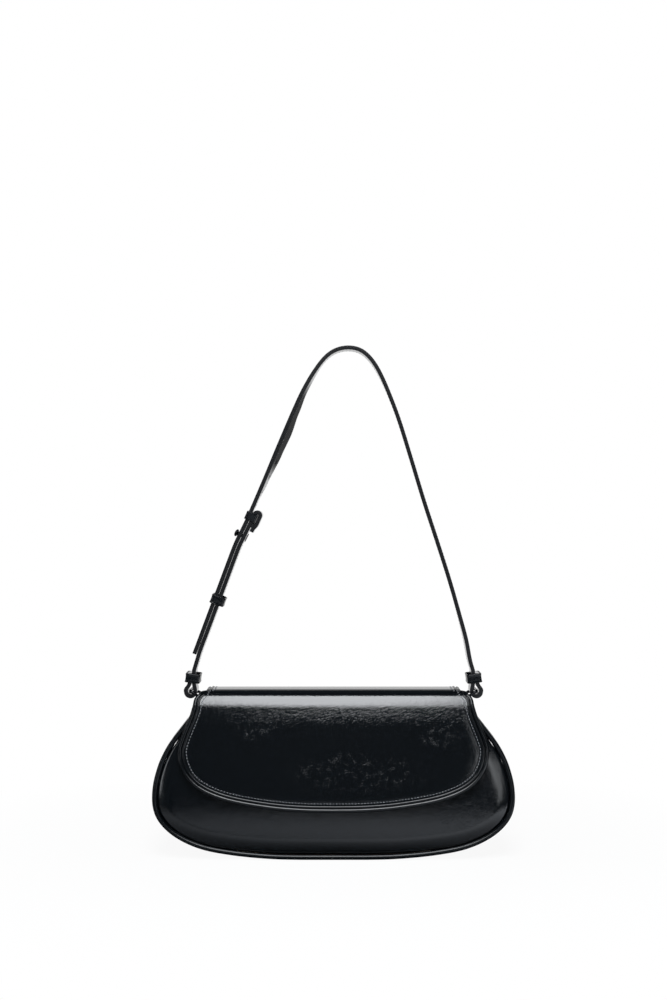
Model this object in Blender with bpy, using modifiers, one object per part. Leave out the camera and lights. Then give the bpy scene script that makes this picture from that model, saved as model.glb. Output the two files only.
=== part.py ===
"""Shoulder bag: a piped leather body with a shaped flap and an adjustable strap.

Metres, +Z up. The origin is the middle of the base and the front faces -Y.
"""

import math

import bmesh
import bpy
from mathutils import Matrix, Vector

# Fits shared by every piece
GAP = 0.0003  # between pieces that touch
OVERRUN = 0.004  # how far a cutter passes the faces that it cuts

# Body, from the base to the mouth
BODY_WIDTH = 0.281
BODY_HEIGHT = 0.122
BASE_DEPTH = 0.066  # seam to seam
MOUTH_DEPTH = 0.025  # seam to seam
BASE_ROUND = 0.010  # height up to which the body keeps its full depth
BELLY = 0.005  # how far each panel swells past its seam
BELLY_ACROSS_POWER = 0.6
BELLY_UP_POWER = 0.55
PANEL_THICKNESS = 0.002
# Right half of the side outline: shares of half the width and of the height
BASE_FLAT_SHARE = 0.18
OUTLINE_SHARES = (
    (0.32, 0.0036), (0.4555, 0.0150), (0.573, 0.031), (0.692, 0.056), (0.790, 0.093),
    (0.872, 0.142), (0.932, 0.197), (0.972, 0.255), (0.993, 0.316),
    (1.0, 0.385), (0.995, 0.467), (0.980, 0.5434), (0.956, 0.623),
    (0.9145, 0.713), (0.861, 0.795), (0.804, 0.877), (0.754, 0.9295),
    (0.712, 0.971), (0.687, 1.0),
)
CORNER_SHARE = 0.149  # height of the point where a panel's bottom edge becomes its side

# Gusset, piping and what lies inside
GUSSET_THICKNESS = 0.002
GUSSET_TOP_SET = 0.010  # how far the gusset stops below the mouth
PIPING_RADIUS = 0.002
PIPING_TOP_SET = 0.003
BOARD_THICKNESS = 0.0024
BOARD_LENGTH = 0.150
LINING_THICKNESS = 0.0008
LINING_TOP_SET = 0.023
LINING_EASE = 0.0015  # between the lining and a panel
FACING_THICKNESS = 0.0012
FACING_TOP_SET = 0.001
GUSSET_TOP = BODY_HEIGHT - GUSSET_TOP_SET
PIPING_TOP = BODY_HEIGHT - PIPING_TOP_SET
LINING_TOP = BODY_HEIGHT - LINING_TOP_SET

# Flap
FLAP_RISE = 0.0066  # top of the flap above the mouth
FLAP_WIDTH_SHARE = 0.8584  # of the body's width
FLAP_DROP_SHARE = 0.7377  # from the front fold to the lowest point, along the leather, of the body's height
FLAP_LEATHER = 0.0018
FLAP_LINING = 0.0012
FRONT_FOLD_RADIUS = 0.013
BACK_FOLD_RADIUS = 0.008
BACK_TAPER = 0.013  # how much narrower the sewn edge is than the band over the mouth
BACK_EDGE_SET = 0.026  # sewn edge below the mouth
FLAP_EASE = 0.0006  # between the flap and the piping that it crosses
BACK_SEW_SET = 0.018  # from this far below the mouth the flap lies flat on the back panel
HINGE_LAND = 0.0004  # a short flat run that keeps the sheet's ends square at a hinge line
BINDING_RADIUS = 0.00175
# Right half of the front flap: shares of half its width and of its drop
FLAP_SHARES = (
    (0.0, 0.0), (0.20, 0.0045), (0.415, 0.0278), (0.6635, 0.0833), (0.829, 0.161),
    (0.929, 0.261), (0.9826, 0.383), (1.0, 0.5056), (0.984, 0.606), (0.954, 0.711),
    (0.926, 0.806), (0.910, 0.883), (0.900, 0.925), (0.889, 0.962), (0.864, 1.0),
)
FLAP_CORNER_SHARE = 0.383
FRONT_COLUMNS = 22
FRONT_ROWS = 14
FOLD_ROWS = 4

# Magnetic snap
SNAP_HEIGHT_SHARE = 0.4262  # of the body's height
SOCKET_RADIUS = 0.008
SOCKET_THICKNESS = 0.0018
SOCKET_RECESS_RADIUS = 0.0042
SOCKET_RECESS_DEPTH = 0.0010
STUD_PLATE_RADIUS = 0.007
STUD_PLATE_THICKNESS = 0.0009
STUD_NUB_RADIUS = 0.0037
STUD_NUB_HEIGHT = 0.0008
WASHER_RADIUS = 0.006
WASHER_THICKNESS = 0.0007
WASHER_HOLE_RADIUS = 0.002

# Strap
STRAP_WIDTH = 0.018
STRAP_THICKNESS = 0.0031
RING_STAND = 0.0155  # from the mouth's corner out to the middle of the strap's turn
BAND_STAND = 0.0105  # from the band's edge out to the middle of the strap's turn
TURN_RISE = 0.0045  # middle of the strap's turns above the mouth
STRAP_RISE = 0.270  # from the turns' middles to the strap's highest point
TURN_EASE = 0.0008  # between the turned leather and the ring's bar
TURNED_END_TOP = 0.0145  # top of the turned end above the turn's middle
# The strap's middle line above its keepers: shares of half the ring span and of the rise
RIGHT_LEG_SHARES = (
    (0.976, 0.0619), (0.955, 0.0907), (0.930, 0.148), (0.892, 0.207), (0.8116, 0.323),
    (0.7223, 0.4393), (0.6313, 0.555), (0.5464, 0.671), (0.459, 0.7874), (0.380, 0.8744),
    (0.314, 0.932), (0.232, 0.977), (0.103, 1.0), (-0.030, 0.983), (-0.093, 0.956),
    (-0.175, 0.903), (-0.247, 0.845), (-0.369, 0.729), (-0.485, 0.6133), (-0.606, 0.497),
    (-0.675, 0.439),
)
STRAIGHT_TOP_SHARES = (-0.711, 0.402)
TAIL_TIP_SHARES = (-0.974, 0.110)
LOWER_LEFT_SHARES = ((-0.933, 0.120), (-0.955, 0.0907), (-0.976, 0.0619))
SHORT_STRAP_SHARES = (0.497, 0.150)  # heights where it lies along the long strap
TWIST = math.radians(12.0)
# The long strap's twist: shares of its length and of the full twist
TWIST_SHARES = (
    (0.0, 0.0), (0.10, 0.0), (0.18, -0.27), (0.42, -0.27), (0.51, 0.0), (0.575, 0.0),
    (0.62, 0.30), (0.655, 0.65), (0.685, 1.0), (0.715, 0.80), (0.755, 0.33), (0.785, 0.0), (1.0, 0.0),
)

# Buckle end of the short strap, measured along the strap
LOOP_SHARE = 0.5105  # height of the fixed loop
LOOP_FOLD_RADIUS = 0.0024
LOOP_FOLD_RISE = 0.0030  # centre of the fold above the loop's middle
LOOP_FOLD_TAIL = 0.0138  # how far the folded end runs back down
FOLD_SHUT_SHARE = 1.25  # above 1, the folded end lies flat before it ends
STUD_DROP = 0.0165  # button stud below the fixed loop
HOLE_RADIUS = 0.0019
HOLE_PITCH = 0.0127
HOLES_ABOVE = 5
HOLES_BELOW = 1
STUD_NECK_RADIUS = 0.0015
STUD_HEAD_RADIUS = 0.0030
STUD_HEAD_HEIGHT = 0.0031
STUD_BASE_RADIUS = 0.0036
STUD_BASE_HEIGHT = 0.0007

# Keepers
KEEPER_WALL = 0.0016
KEEPER_HEIGHT = 0.0075
KEEPER_SLACK = 0.0016
LOOP_WALL = 0.0010
LOOP_HEIGHT = 0.0068
SLIDER_SHARE = 0.2685  # height of the sliding keeper
END_KEEPER_RISE = 0.0104  # middle of an end keeper above the turn's middle

# Rings and the tabs that hold them
WIRE_RADIUS = 0.0012
RING_WIDTH_INSIDE = 0.0202
RING_BAR_PITCH = 0.0102
RING_CORNER = 0.0020
RING_SLOPE = math.radians(31.0)
RING_LIFT = 0.0007  # outer bar above the turn's middle
TAB_WIDTH = 0.014
TAB_THICKNESS = 0.0013
TAB_EASE = 0.0003
TAB_NECK = 0.0100  # from the ring's inner bar down to the gusset
TAB_LEG = 0.0090  # how far it runs down inside the gusset

# Sizes that follow from those above
FLAP_TOP = BODY_HEIGHT + FLAP_RISE
FLAP_WIDTH = BODY_WIDTH * FLAP_WIDTH_SHARE
FLAP_DROP = BODY_HEIGHT * FLAP_DROP_SHARE
SNAP_HEIGHT = BODY_HEIGHT * SNAP_HEIGHT_SHARE
RING_SPAN = BODY_WIDTH * OUTLINE_SHARES[-1][0] + 2 * RING_STAND
BAND_WIDTH = RING_SPAN - 2 * BAND_STAND
BACK_EDGE_WIDTH = BAND_WIDTH - BACK_TAPER
BACK_EDGE_HEIGHT = BODY_HEIGHT - BACK_EDGE_SET
BACK_SEW_TOP = BODY_HEIGHT - BACK_SEW_SET

BAG = bpy.data.collections.new("Shoulder bag")
CUTTERS = bpy.data.collections.new("Cutters")


def clear_scene():
    for obj in list(bpy.data.objects):
        bpy.data.objects.remove(obj, do_unlink=True)
    for group in (BAG, CUTTERS):
        bpy.context.scene.collection.children.link(group)


def finish(name, colour, roughness, metallic=0.0, coat=0.0):
    """A material in the piece's own colour."""
    material = bpy.data.materials.new(name)
    material.use_nodes = True
    shader = material.node_tree.nodes["Principled BSDF"]
    shader.inputs["Base Color"].default_value = (*colour, 1.0)
    shader.inputs["Roughness"].default_value = roughness
    shader.inputs["Metallic"].default_value = metallic
    shader.inputs["Coat Weight"].default_value = coat
    return material


def patent_leather(name):
    return finish(name + " patent leather", (0.005, 0.006, 0.008), 0.22, coat=0.8)


def black_metal(name):
    return finish(name + " black metal", (0.012, 0.012, 0.013), 0.25, metallic=1.0)


def cloth(name):
    return finish(name + " twill", (0.016, 0.016, 0.018), 0.85)


# Curves in a plane


def smooth(points, steps=6):
    """A smooth curve through the points, with this many steps between each pair."""
    padded = [points[0], *points, points[-1]]
    found = []
    for before, start, end, after in zip(padded, padded[1:], padded[2:], padded[3:]):
        for step in range(steps):
            t = step / steps
            found.append(
                0.5 * (2 * start + (end - before) * t
                       + (2 * before - 5 * start + 4 * end - after) * t**2
                       + (3 * start - before - 3 * end + after) * t**3)
            )
    return found + [points[-1]]


def lengths_along(points):
    total = [0.0]
    for a, b in zip(points, points[1:]):
        total.append(total[-1] + (b - a).length)
    return total


def point_at(points, marks, length):
    """The point this far along a polyline whose running lengths are marks."""
    length = min(max(length, 0.0), marks[-1])
    low, high = 0, len(marks) - 1
    while high - low > 1:
        middle = (low + high) // 2
        if marks[middle] <= length:
            low = middle
        else:
            high = middle
    span = marks[high] - marks[low]
    return points[low].lerp(points[high], (length - marks[low]) / span if span else 0.0)


def even(points, count):
    """The same line with this many equal steps."""
    marks = lengths_along(points)
    return [point_at(points, marks, marks[-1] * i / count) for i in range(count + 1)]


def left_normals(points):
    """Unit normals to the left of a polyline's direction."""
    found = []
    for i in range(len(points)):
        along = points[min(i + 1, len(points) - 1)] - points[max(i - 1, 0)]
        found.append(Vector((-along.y, along.x)).normalized())
    return found


def offset(points, distance):
    return [p + n * distance for p, n in zip(points, left_normals(points))]


def arc(centre, radius, start, end, steps):
    return [
        centre + radius * Vector((math.cos(a), math.sin(a)))
        for a in (start + (end - start) * i / steps for i in range(steps + 1))
    ]


def cut_at_height(points, top):
    """The line up to this height, run on along its last stretch if it stops short."""
    kept = [points[0]]
    for a, b in zip(points, points[1:]):
        if b.y >= top:
            break
        kept.append(b)
    else:
        a, b = points[-2], points[-1]
    return kept + [a + (b - a) * ((top - a.y) / (b.y - a.y))]


# Body surfaces


def outline():
    """The right half of the side outline, from the middle of the base up to the mouth."""
    half = BODY_WIDTH / 2
    flat_end = Vector((BASE_FLAT_SHARE * half, 0.0))
    curve = [flat_end] + [Vector((x * half, z * BODY_HEIGHT)) for x, z in OUTLINE_SHARES]
    return [Vector((0.0, 0.0)), flat_end / 2] + smooth(curve)


OUTLINE = outline()


def side_line(inset, top):
    """The outline drawn in by inset, up to the height top."""
    return cut_at_height(offset(OUTLINE, inset), top)


def whole_line(half):
    """A half line from the middle to the right, made whole with its mirror image."""
    return [Vector((-p.x, p.y)) for p in reversed(half[1:])] + half


def half_width(z):
    for a, b in zip(OUTLINE[2:], OUTLINE[3:]):
        if z <= b.y:
            return a.x + (b.x - a.x) * max(z - a.y, 0.0) / (b.y - a.y)
    return OUTLINE[-1].x


SEAM_SLOPE = (BASE_DEPTH - MOUTH_DEPTH) / 2 / (BODY_HEIGHT - BASE_ROUND)


def seam_depth(z):
    """How far the seam lies from the middle plane at this height."""
    return BASE_DEPTH / 2 - SEAM_SLOPE * max(z - BASE_ROUND, 0.0)


def belly(x, z):
    up = min(max(z / BODY_HEIGHT, 0.0), 1.0)
    across = max(1.0 - (x / half_width(z)) ** 2, 0.0)
    return BELLY * across**BELLY_ACROSS_POWER * math.sin(math.pi * up**BELLY_UP_POWER)


def body_depth(x, z):
    return seam_depth(z) + belly(x, z)


def patch(half, corner_height):
    """A map from the square to the area inside a half outline and its mirror image."""
    split = next(i for i, p in enumerate(half) if p.y > corner_height)
    low, high = half[: split + 1], half[split:]
    low_marks, high_marks = lengths_along(low), lengths_along(high)
    top = high[-1].y
    corners = (low[0], low[-1], Vector((0.0, top)), high[-1])

    def place(u, v):
        a = abs(u)
        bottom = point_at(low, low_marks, a * low_marks[-1])
        side = point_at(high, high_marks, v * high_marks[-1])
        middle = corners[0].lerp(corners[2], v)
        upper = corners[2].lerp(corners[3], a)
        flat = corners[0].lerp(corners[1], a).lerp(upper, v)
        found = middle.lerp(side, a) + bottom.lerp(upper, v) - flat
        return math.copysign(found.x, u), found.y

    return place


# Objects


def add_mesh(name, bm, material, smooth_faces=True):
    mesh = bpy.data.meshes.new(name)
    bm.to_mesh(mesh)
    bm.free()
    if smooth_faces:
        mesh.shade_smooth()
        mesh.set_sharp_from_angle(angle=math.radians(40.0))
    obj = bpy.data.objects.new(name, mesh)
    mesh.materials.append(material)
    BAG.objects.link(obj)
    return obj


def thicken(obj, thickness, offset_side=-1.0):
    """Turns an open surface into a shell."""
    shell = obj.modifiers.new("Leather", "SOLIDIFY")
    shell.thickness = thickness
    shell.offset = offset_side
    shell.use_even_offset = True
    return obj


def grid(columns, rows, place, inside_out=False):
    """A grid carried to its place by place(u, v), with u from -1 to 1 and v from 0 to 1."""
    bm = bmesh.new()
    bmesh.ops.create_grid(bm, x_segments=columns, y_segments=rows, size=1.0)
    for vert in bm.verts:
        vert.co = place(vert.co.x, (vert.co.y + 1) / 2)
    if inside_out:
        bmesh.ops.reverse_faces(bm, faces=bm.faces)
    return bm


def tube(name, points, radius, material, closed=False, sides=2):
    """A round tube along a line of points."""
    curve = bpy.data.curves.new(name, "CURVE")
    curve.dimensions = "3D"
    curve.bevel_depth = radius
    curve.bevel_resolution = sides
    curve.use_fill_caps = not closed
    spline = curve.splines.new("POLY")
    spline.points.add(len(points) - 1)
    for point, place in zip(spline.points, points):
        point.co = (*place, 1.0)
    spline.use_cyclic_u = closed
    curve.materials.append(material)
    obj = bpy.data.objects.new(name, curve)
    BAG.objects.link(obj)
    return obj


def plate(name, loops, half_height, material):
    """A flat outline with any holes, given in its own XY plane and thickened along Z."""
    curve = bpy.data.curves.new(name, "CURVE")
    curve.dimensions = "2D"
    curve.fill_mode = "BOTH"
    curve.extrude = half_height
    for loop in loops:
        spline = curve.splines.new("POLY")
        spline.points.add(len(loop) - 1)
        for point, place in zip(spline.points, loop):
            point.co = (place.x, place.y, 0.0, 1.0)
        spline.use_cyclic_u = True
    curve.materials.append(material)
    obj = bpy.data.objects.new(name, curve)
    BAG.objects.link(obj)
    return obj


def turned(name, profile, material, steps=20):
    """A turned piece: its profile runs down the outer side, from the axis and back to it."""
    bm = bmesh.new()
    verts = [bm.verts.new((radius, 0.0, height)) for radius, height in profile]
    for a, b in zip(verts, verts[1:]):
        bm.edges.new((a, b))
    obj = add_mesh(name, bm, material, smooth_faces=False)
    screw = obj.modifiers.new("Turn", "SCREW")
    screw.steps = steps
    screw.render_steps = steps
    screw.use_merge_vertices = True
    screw.merge_threshold = 0.00001
    screw.use_smooth_shade = False
    return obj


def cylinder_cutter(name, radius, depth, places):
    """Cylinders along their places' own Z axes, as one cutter."""
    bm = bmesh.new()
    for place in places:
        bmesh.ops.create_cone(
            bm, cap_ends=True, segments=14, radius1=radius, radius2=radius, depth=depth, matrix=place
        )
    mesh = bpy.data.meshes.new(name)
    bm.to_mesh(mesh)
    bm.free()
    cutter = bpy.data.objects.new(name, mesh)
    cutter.hide_render = True
    cutter.display_type = "WIRE"
    CUTTERS.objects.link(cutter)
    return cutter


def cut(obj, cutter):
    boolean = obj.modifiers.new("Cut " + cutter.name, "BOOLEAN")
    boolean.operation = "DIFFERENCE"
    boolean.object = cutter


def hinge(name, location):
    """An empty on a joint's axis, for the pieces that turn or slide on it."""
    empty = bpy.data.objects.new(name, None)
    empty.location = location
    empty.empty_display_size = BODY_HEIGHT / 10
    empty.hide_render = True
    BAG.objects.link(empty)
    return empty


def carry(parent, *pieces):
    """Hangs finished pieces on a parent and leaves them where they are."""
    bpy.context.view_layer.update()
    for piece in pieces:
        piece.parent = parent
        piece.matrix_parent_inverse = parent.matrix_world.inverted()


# Body pieces

PIPING_INSET = PIPING_RADIUS + GAP / 2
PANEL_INSET = PIPING_INSET + PIPING_RADIUS + GAP
LINING_INSET = GUSSET_THICKNESS + 2 * TAB_THICKNESS + 2 * GAP


def panel(name, side):
    place = patch(side_line(PANEL_INSET, BODY_HEIGHT), CORNER_SHARE * BODY_HEIGHT)

    def surface(u, v):
        x, z = place(u, v)
        return x, side * body_depth(x, z), z

    bm = grid(26, 9, surface, inside_out=side > 0)
    return thicken(add_mesh(name, bm, patent_leather(name)), PANEL_THICKNESS)


def gusset():
    line = even(whole_line(side_line(0.0, GUSSET_TOP)), 64)
    steps = len(line) - 1

    def surface(u, v):
        p = line[round((u + 1) / 2 * steps)]
        depth = seam_depth(p.y) - PIPING_RADIUS - 2 * GAP
        return p.x, depth * (2 * v - 1), p.y

    bm = grid(steps, 2, surface, inside_out=True)
    return thicken(add_mesh("gusset", bm, patent_leather("gusset")), GUSSET_THICKNESS)


def piping(name, side):
    line = even(whole_line(side_line(PIPING_INSET, PIPING_TOP)), 72)
    points = [(p.x, side * seam_depth(p.y), p.y) for p in line]
    return tube(name, points, PIPING_RADIUS, patent_leather(name), sides=1)


def lining():
    """An open sack that follows the panels and the gusset from inside."""
    half = side_line(LINING_INSET, LINING_TOP)
    place = patch(half, CORNER_SHARE * BODY_HEIGHT)
    columns, rows = 20, 6

    def lining_depth(x, z):
        return body_depth(x, z) - PANEL_THICKNESS - LINING_EASE

    def wall(side):
        def surface(u, v):
            x, z = place(u, v)
            return x, side * lining_depth(x, z), z

        return surface

    bm = grid(columns, rows, wall(-1))
    back = grid(columns, rows, wall(1), inside_out=True)
    copy = bpy.data.meshes.new("lining back")
    back.to_mesh(copy)
    back.free()
    bm.from_mesh(copy)
    bpy.data.meshes.remove(copy)
    bm.edges.ensure_lookup_table()
    rims = [e for e in bm.edges if e.is_boundary and min(v.co.z for v in e.verts) < LINING_TOP - GAP]
    bmesh.ops.bridge_loops(bm, edges=rims)
    bmesh.ops.recalc_face_normals(bm, faces=bm.faces)
    if sum((f.normal.y for f in bm.faces if f.calc_center_median().y < -LINING_INSET), 0.0) > 0:
        bmesh.ops.reverse_faces(bm, faces=bm.faces)
    return thicken(add_mesh("lining", bm, cloth("lining")), LINING_THICKNESS)


def base_board():
    """A stiff board between the gusset and the lining."""
    half = side_line(GUSSET_THICKNESS + GAP, GUSSET_TOP)
    marks = lengths_along(half)

    def surface(u, v):
        p = point_at(half, marks, abs(u) * BOARD_LENGTH / 2)
        depth = seam_depth(0.0) - PANEL_THICKNESS - LINING_EASE
        return math.copysign(p.x, u), depth * (2 * v - 1), p.y

    bm = grid(16, 1, surface, inside_out=True)
    board = add_mesh("base_board", bm, finish("Fibreboard", (0.24, 0.19, 0.13), 0.8))
    return thicken(board, BOARD_THICKNESS)


def facing(name, side):
    """The leather band sewn inside the mouth, above the lining."""
    top = BODY_HEIGHT - FACING_TOP_SET
    low = LINING_TOP + 2 * GAP

    def surface(u, v):
        z = low + (top - low) * v
        x = u * (half_width(BODY_HEIGHT) - PANEL_INSET - PIPING_RADIUS)
        return x, side * (body_depth(x, z) - PANEL_THICKNESS - 2 * GAP), z

    bm = grid(16, 2, surface, inside_out=side > 0)
    return thicken(add_mesh(name, bm, patent_leather(name)), FACING_THICKNESS)


# Flap: a sheet that rises from the front, turns over the mouth and runs down the back

FLAP_THICKNESS = FLAP_LEATHER + GAP + FLAP_LINING
SNAP_STACK = SOCKET_THICKNESS + STUD_PLATE_THICKNESS + 4 * GAP
EASE_SLOPE = (SNAP_STACK - PIPING_RADIUS - FLAP_EASE) / (BODY_HEIGHT - SNAP_HEIGHT)
FRONT_LEAN = math.atan(SEAM_SLOPE + EASE_SLOPE)
BACK_LEAN = math.atan(SEAM_SLOPE)


def front_ease(z):
    return PIPING_RADIUS + FLAP_EASE + EASE_SLOPE * (BODY_HEIGHT - z)


def front_line(z):
    return -(seam_depth(z) + front_ease(z) + FLAP_THICKNESS)


def back_line(z):
    """Flat on the panel where it is sewn, then clear of the piping."""
    rise = min(max((z - BACK_SEW_TOP) / (GUSSET_TOP - BACK_SEW_TOP), 0.0), 1.0)
    return seam_depth(z) + GAP + FLAP_LEATHER + rise * (PIPING_RADIUS + FLAP_EASE - GAP)


FRONT_FOLD_END = FLAP_TOP - FRONT_FOLD_RADIUS * (1 - math.sin(FRONT_LEAN))
BACK_FOLD_END = FLAP_TOP - BACK_FOLD_RADIUS * (1 - math.sin(BACK_LEAN))
FRONT_FOLD_Y = front_line(FRONT_FOLD_END) + FRONT_FOLD_RADIUS * math.cos(FRONT_LEAN)
BACK_FOLD_Y = back_line(BACK_FOLD_END) - BACK_FOLD_RADIUS * math.cos(BACK_LEAN)
FRONT_FOLD_LENGTH = FRONT_FOLD_RADIUS * (math.pi / 2 - FRONT_LEAN)
BACK_FOLD_LENGTH = BACK_FOLD_RADIUS * (math.pi / 2 - BACK_LEAN)
# Marks along the sheet, which starts at the base's height on the front
BAND_START = FRONT_FOLD_END + FRONT_FOLD_LENGTH
BAND_END = BAND_START + BACK_FOLD_Y - FRONT_FOLD_Y
BACK_START = BAND_END + BACK_FOLD_LENGTH
BACK_FINISH = BACK_START + BACK_FOLD_END - BACK_EDGE_HEIGHT
FRONT_HINGE = FRONT_FOLD_END + FRONT_FOLD_LENGTH / 2
BACK_HINGE = BAND_END + BACK_FOLD_LENGTH / 2


def flap_surface(x, mark, lift=0.0):
    """The point of the flap's outer face at x and this far along, or one that lies lift beneath it."""
    if mark <= FRONT_FOLD_END:
        return x, front_line(mark) - belly(x, mark) + lift, mark
    if mark < BAND_START:
        angle = math.pi / 2 + (BAND_START - mark) / FRONT_FOLD_RADIUS
        radius = FRONT_FOLD_RADIUS - lift
        z = FLAP_TOP - FRONT_FOLD_RADIUS + radius * math.sin(angle)
        return x, FRONT_FOLD_Y + radius * math.cos(angle) - belly(x, z), z
    if mark <= BAND_END:
        return x, FRONT_FOLD_Y + mark - BAND_START, FLAP_TOP - lift
    if mark < BACK_START:
        angle = math.pi / 2 - (mark - BAND_END) / BACK_FOLD_RADIUS
        radius = BACK_FOLD_RADIUS - lift
        z = FLAP_TOP - BACK_FOLD_RADIUS + radius * math.sin(angle)
        return x, BACK_FOLD_Y + radius * math.cos(angle) + belly(x, z), z
    z = BACK_FOLD_END - (mark - BACK_START)
    return x, back_line(z) + belly(x, z) - lift, z


def flap_side_line(inset):
    """The right half of the front flap's outline, in x and in marks along the sheet."""
    low = FRONT_HINGE - FLAP_DROP
    line = smooth([Vector((x * FLAP_WIDTH / 2, low + w * FLAP_DROP)) for x, w in FLAP_SHARES])
    return cut_at_height(offset(line, inset), FRONT_HINGE - GAP / 2)


def front_row_share(row):
    """Rows of the front flap: even ones, then closer ones in the fold and a short last one."""
    span = FRONT_HINGE - GAP / 2 - flap_side_line(0.0)[0].y
    fold = (FRONT_HINGE - GAP / 2 - FRONT_FOLD_END) / span
    land = HINGE_LAND / span
    even_rows = FRONT_ROWS - FOLD_ROWS - 1
    if row <= even_rows:
        return (1 - fold) * row / even_rows
    if row == FRONT_ROWS:
        return 1.0
    return 1 - fold + (fold - land) * (row - even_rows) / FOLD_ROWS


def flap_front(name, lift, thickness, material):
    inset = 2 * (BINDING_RADIUS + GAP)
    corner = FRONT_HINGE - FLAP_DROP + FLAP_CORNER_SHARE * FLAP_DROP
    place = patch(flap_side_line(inset), corner)

    def surface(u, v):
        x, mark = place(u, front_row_share(round(v * FRONT_ROWS)))
        return flap_surface(x, mark, lift)

    return thicken(add_mesh(name, grid(FRONT_COLUMNS, FRONT_ROWS, surface), material), thickness)


def flap_marks(start, end):
    """Marks between two places on the sheet, closer together where it bends."""
    bends = (
        (FRONT_HINGE, BAND_START, 4), (BAND_START, BAND_END, 2),
        (BAND_END, BACK_START, 8), (BACK_START, BACK_FINISH, 4),
    )
    found = [start, start + HINGE_LAND]
    for low, high, steps in bends:
        found += [low + (high - low) * i / steps for i in range(steps + 1)]
    inside = sorted(m for m in set(found[2:]) if start + 2 * HINGE_LAND < m < end - 2 * HINGE_LAND)
    return [start, start + HINGE_LAND, *inside, end - HINGE_LAND, end]


def flap_strip(name, start, end, widths, lift, thickness, material):
    """A stretch of the sheet between two marks."""
    marks = flap_marks(start, end)

    def surface(u, v):
        mark = marks[round(v * (len(marks) - 1))]
        width = widths[0] + (widths[1] - widths[0]) * (mark - start) / (end - start)
        return flap_surface(u * width / 2, mark, lift)

    return thicken(add_mesh(name, grid(14, len(marks) - 1, surface), material), thickness)


def flap_binding():
    half = cut_at_height(flap_side_line(BINDING_RADIUS), FRONT_HINGE - BINDING_RADIUS)
    points = [flap_surface(p.x, p.y, FLAP_THICKNESS / 2) for p in even(whole_line(half), 72)]
    return tube("flap_binding", points, BINDING_RADIUS, patent_leather("flap_binding"), sides=1)


def snap(name, profile, distance):
    """Half a snap, turned about the normal of the panel at the snap's height."""
    obj = turned(name, profile, black_metal(name))
    lean = math.atan((body_depth(0.0, SNAP_HEIGHT - GAP) - body_depth(0.0, SNAP_HEIGHT + GAP)) / (2 * GAP))
    obj.rotation_euler = (math.pi / 2 - lean, 0.0, 0.0)
    normal = Vector((0.0, -math.cos(lean), math.sin(lean)))
    centre = Vector((0.0, -body_depth(0.0, SNAP_HEIGHT), SNAP_HEIGHT))
    obj.location = centre + normal * distance
    return obj


def snap_pieces():
    face, recess = SOCKET_THICKNESS, SOCKET_THICKNESS - SOCKET_RECESS_DEPTH
    socket = snap(
        "snap_socket",
        ((0.0, recess), (SOCKET_RECESS_RADIUS, recess), (SOCKET_RECESS_RADIUS, face),
         (SOCKET_RADIUS - face / 2, face), (SOCKET_RADIUS, face / 2), (SOCKET_RADIUS, 0.0), (0.0, 0.0)),
        GAP,
    )
    plate_top = STUD_NUB_HEIGHT + STUD_PLATE_THICKNESS
    stud = snap(
        "snap_stud",
        ((0.0, plate_top), (STUD_PLATE_RADIUS, plate_top), (STUD_PLATE_RADIUS, STUD_NUB_HEIGHT),
         (STUD_NUB_RADIUS, STUD_NUB_HEIGHT), (STUD_NUB_RADIUS, 0.0), (0.0, 0.0)),
        GAP + SOCKET_THICKNESS + GAP - STUD_NUB_HEIGHT,
    )
    washer = snap(
        "snap_washer",
        ((WASHER_HOLE_RADIUS, WASHER_THICKNESS), (WASHER_RADIUS, WASHER_THICKNESS),
         (WASHER_RADIUS, 0.0), (WASHER_HOLE_RADIUS, 0.0), (WASHER_HOLE_RADIUS, WASHER_THICKNESS)),
        -(PANEL_THICKNESS + GAP + WASHER_THICKNESS),
    )
    return socket, stud, washer


# Strap: its middle line lies in the XZ plane

TURN_HEIGHT = BODY_HEIGHT + TURN_RISE
TURN_RADIUS = WIRE_RADIUS + TURN_EASE + STRAP_THICKNESS / 2
RING_BAR_HEIGHT = TURN_HEIGHT + RING_LIFT
HALF_SPAN = RING_SPAN / 2
STRAP_PITCH = STRAP_THICKNESS + GAP
KEEPER_MIDDLE = TURN_HEIGHT + END_KEEPER_RISE


def strap_point(x_share, z_share):
    return Vector((x_share * HALF_SPAN, TURN_HEIGHT + z_share * STRAP_RISE))


def turned_end(side):
    """The strap's end from below the keeper's top, round the ring's bar and up again, on one side."""
    middle = Vector((side * HALF_SPAN, TURN_HEIGHT))
    leg = side * (HALF_SPAN - TURN_RADIUS)
    first = arc(middle, TURN_RADIUS, -math.pi if side > 0 else 0.0, 0.0 if side > 0 else -math.pi, 10)
    keeper_leg = strap_point(RIGHT_LEG_SHARES[0][0], 0.0).x * side
    inner = smooth([
        Vector((keeper_leg, TURN_HEIGHT + TURNED_END_TOP)),
        Vector((keeper_leg, KEEPER_MIDDLE - KEEPER_HEIGHT / 2)),
        Vector((leg, RING_BAR_HEIGHT + WIRE_RADIUS)),
        first[0],
    ], 4)
    outer_x = keeper_leg + side * STRAP_PITCH
    outer = smooth([
        first[-1],
        Vector((first[-1].x, RING_BAR_HEIGHT + WIRE_RADIUS)),
        Vector((outer_x, KEEPER_MIDDLE - KEEPER_HEIGHT / 2)),
        Vector((outer_x, TURN_HEIGHT + TURNED_END_TOP)),
    ], 4)
    return inner[:-1] + first + outer[1:]


def long_strap_line():
    """From the turned end on the right, over the top and down to the free tip."""
    straight_top, tip = strap_point(*STRAIGHT_TOP_SHARES), strap_point(*TAIL_TIP_SHARES)
    over = [strap_point(*shares) for shares in RIGHT_LEG_SHARES]
    straight = [straight_top.lerp(tip, i / 6) for i in range(7)]
    end = list(reversed(turned_end(1)))
    return end + smooth(over + straight, 4)


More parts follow.
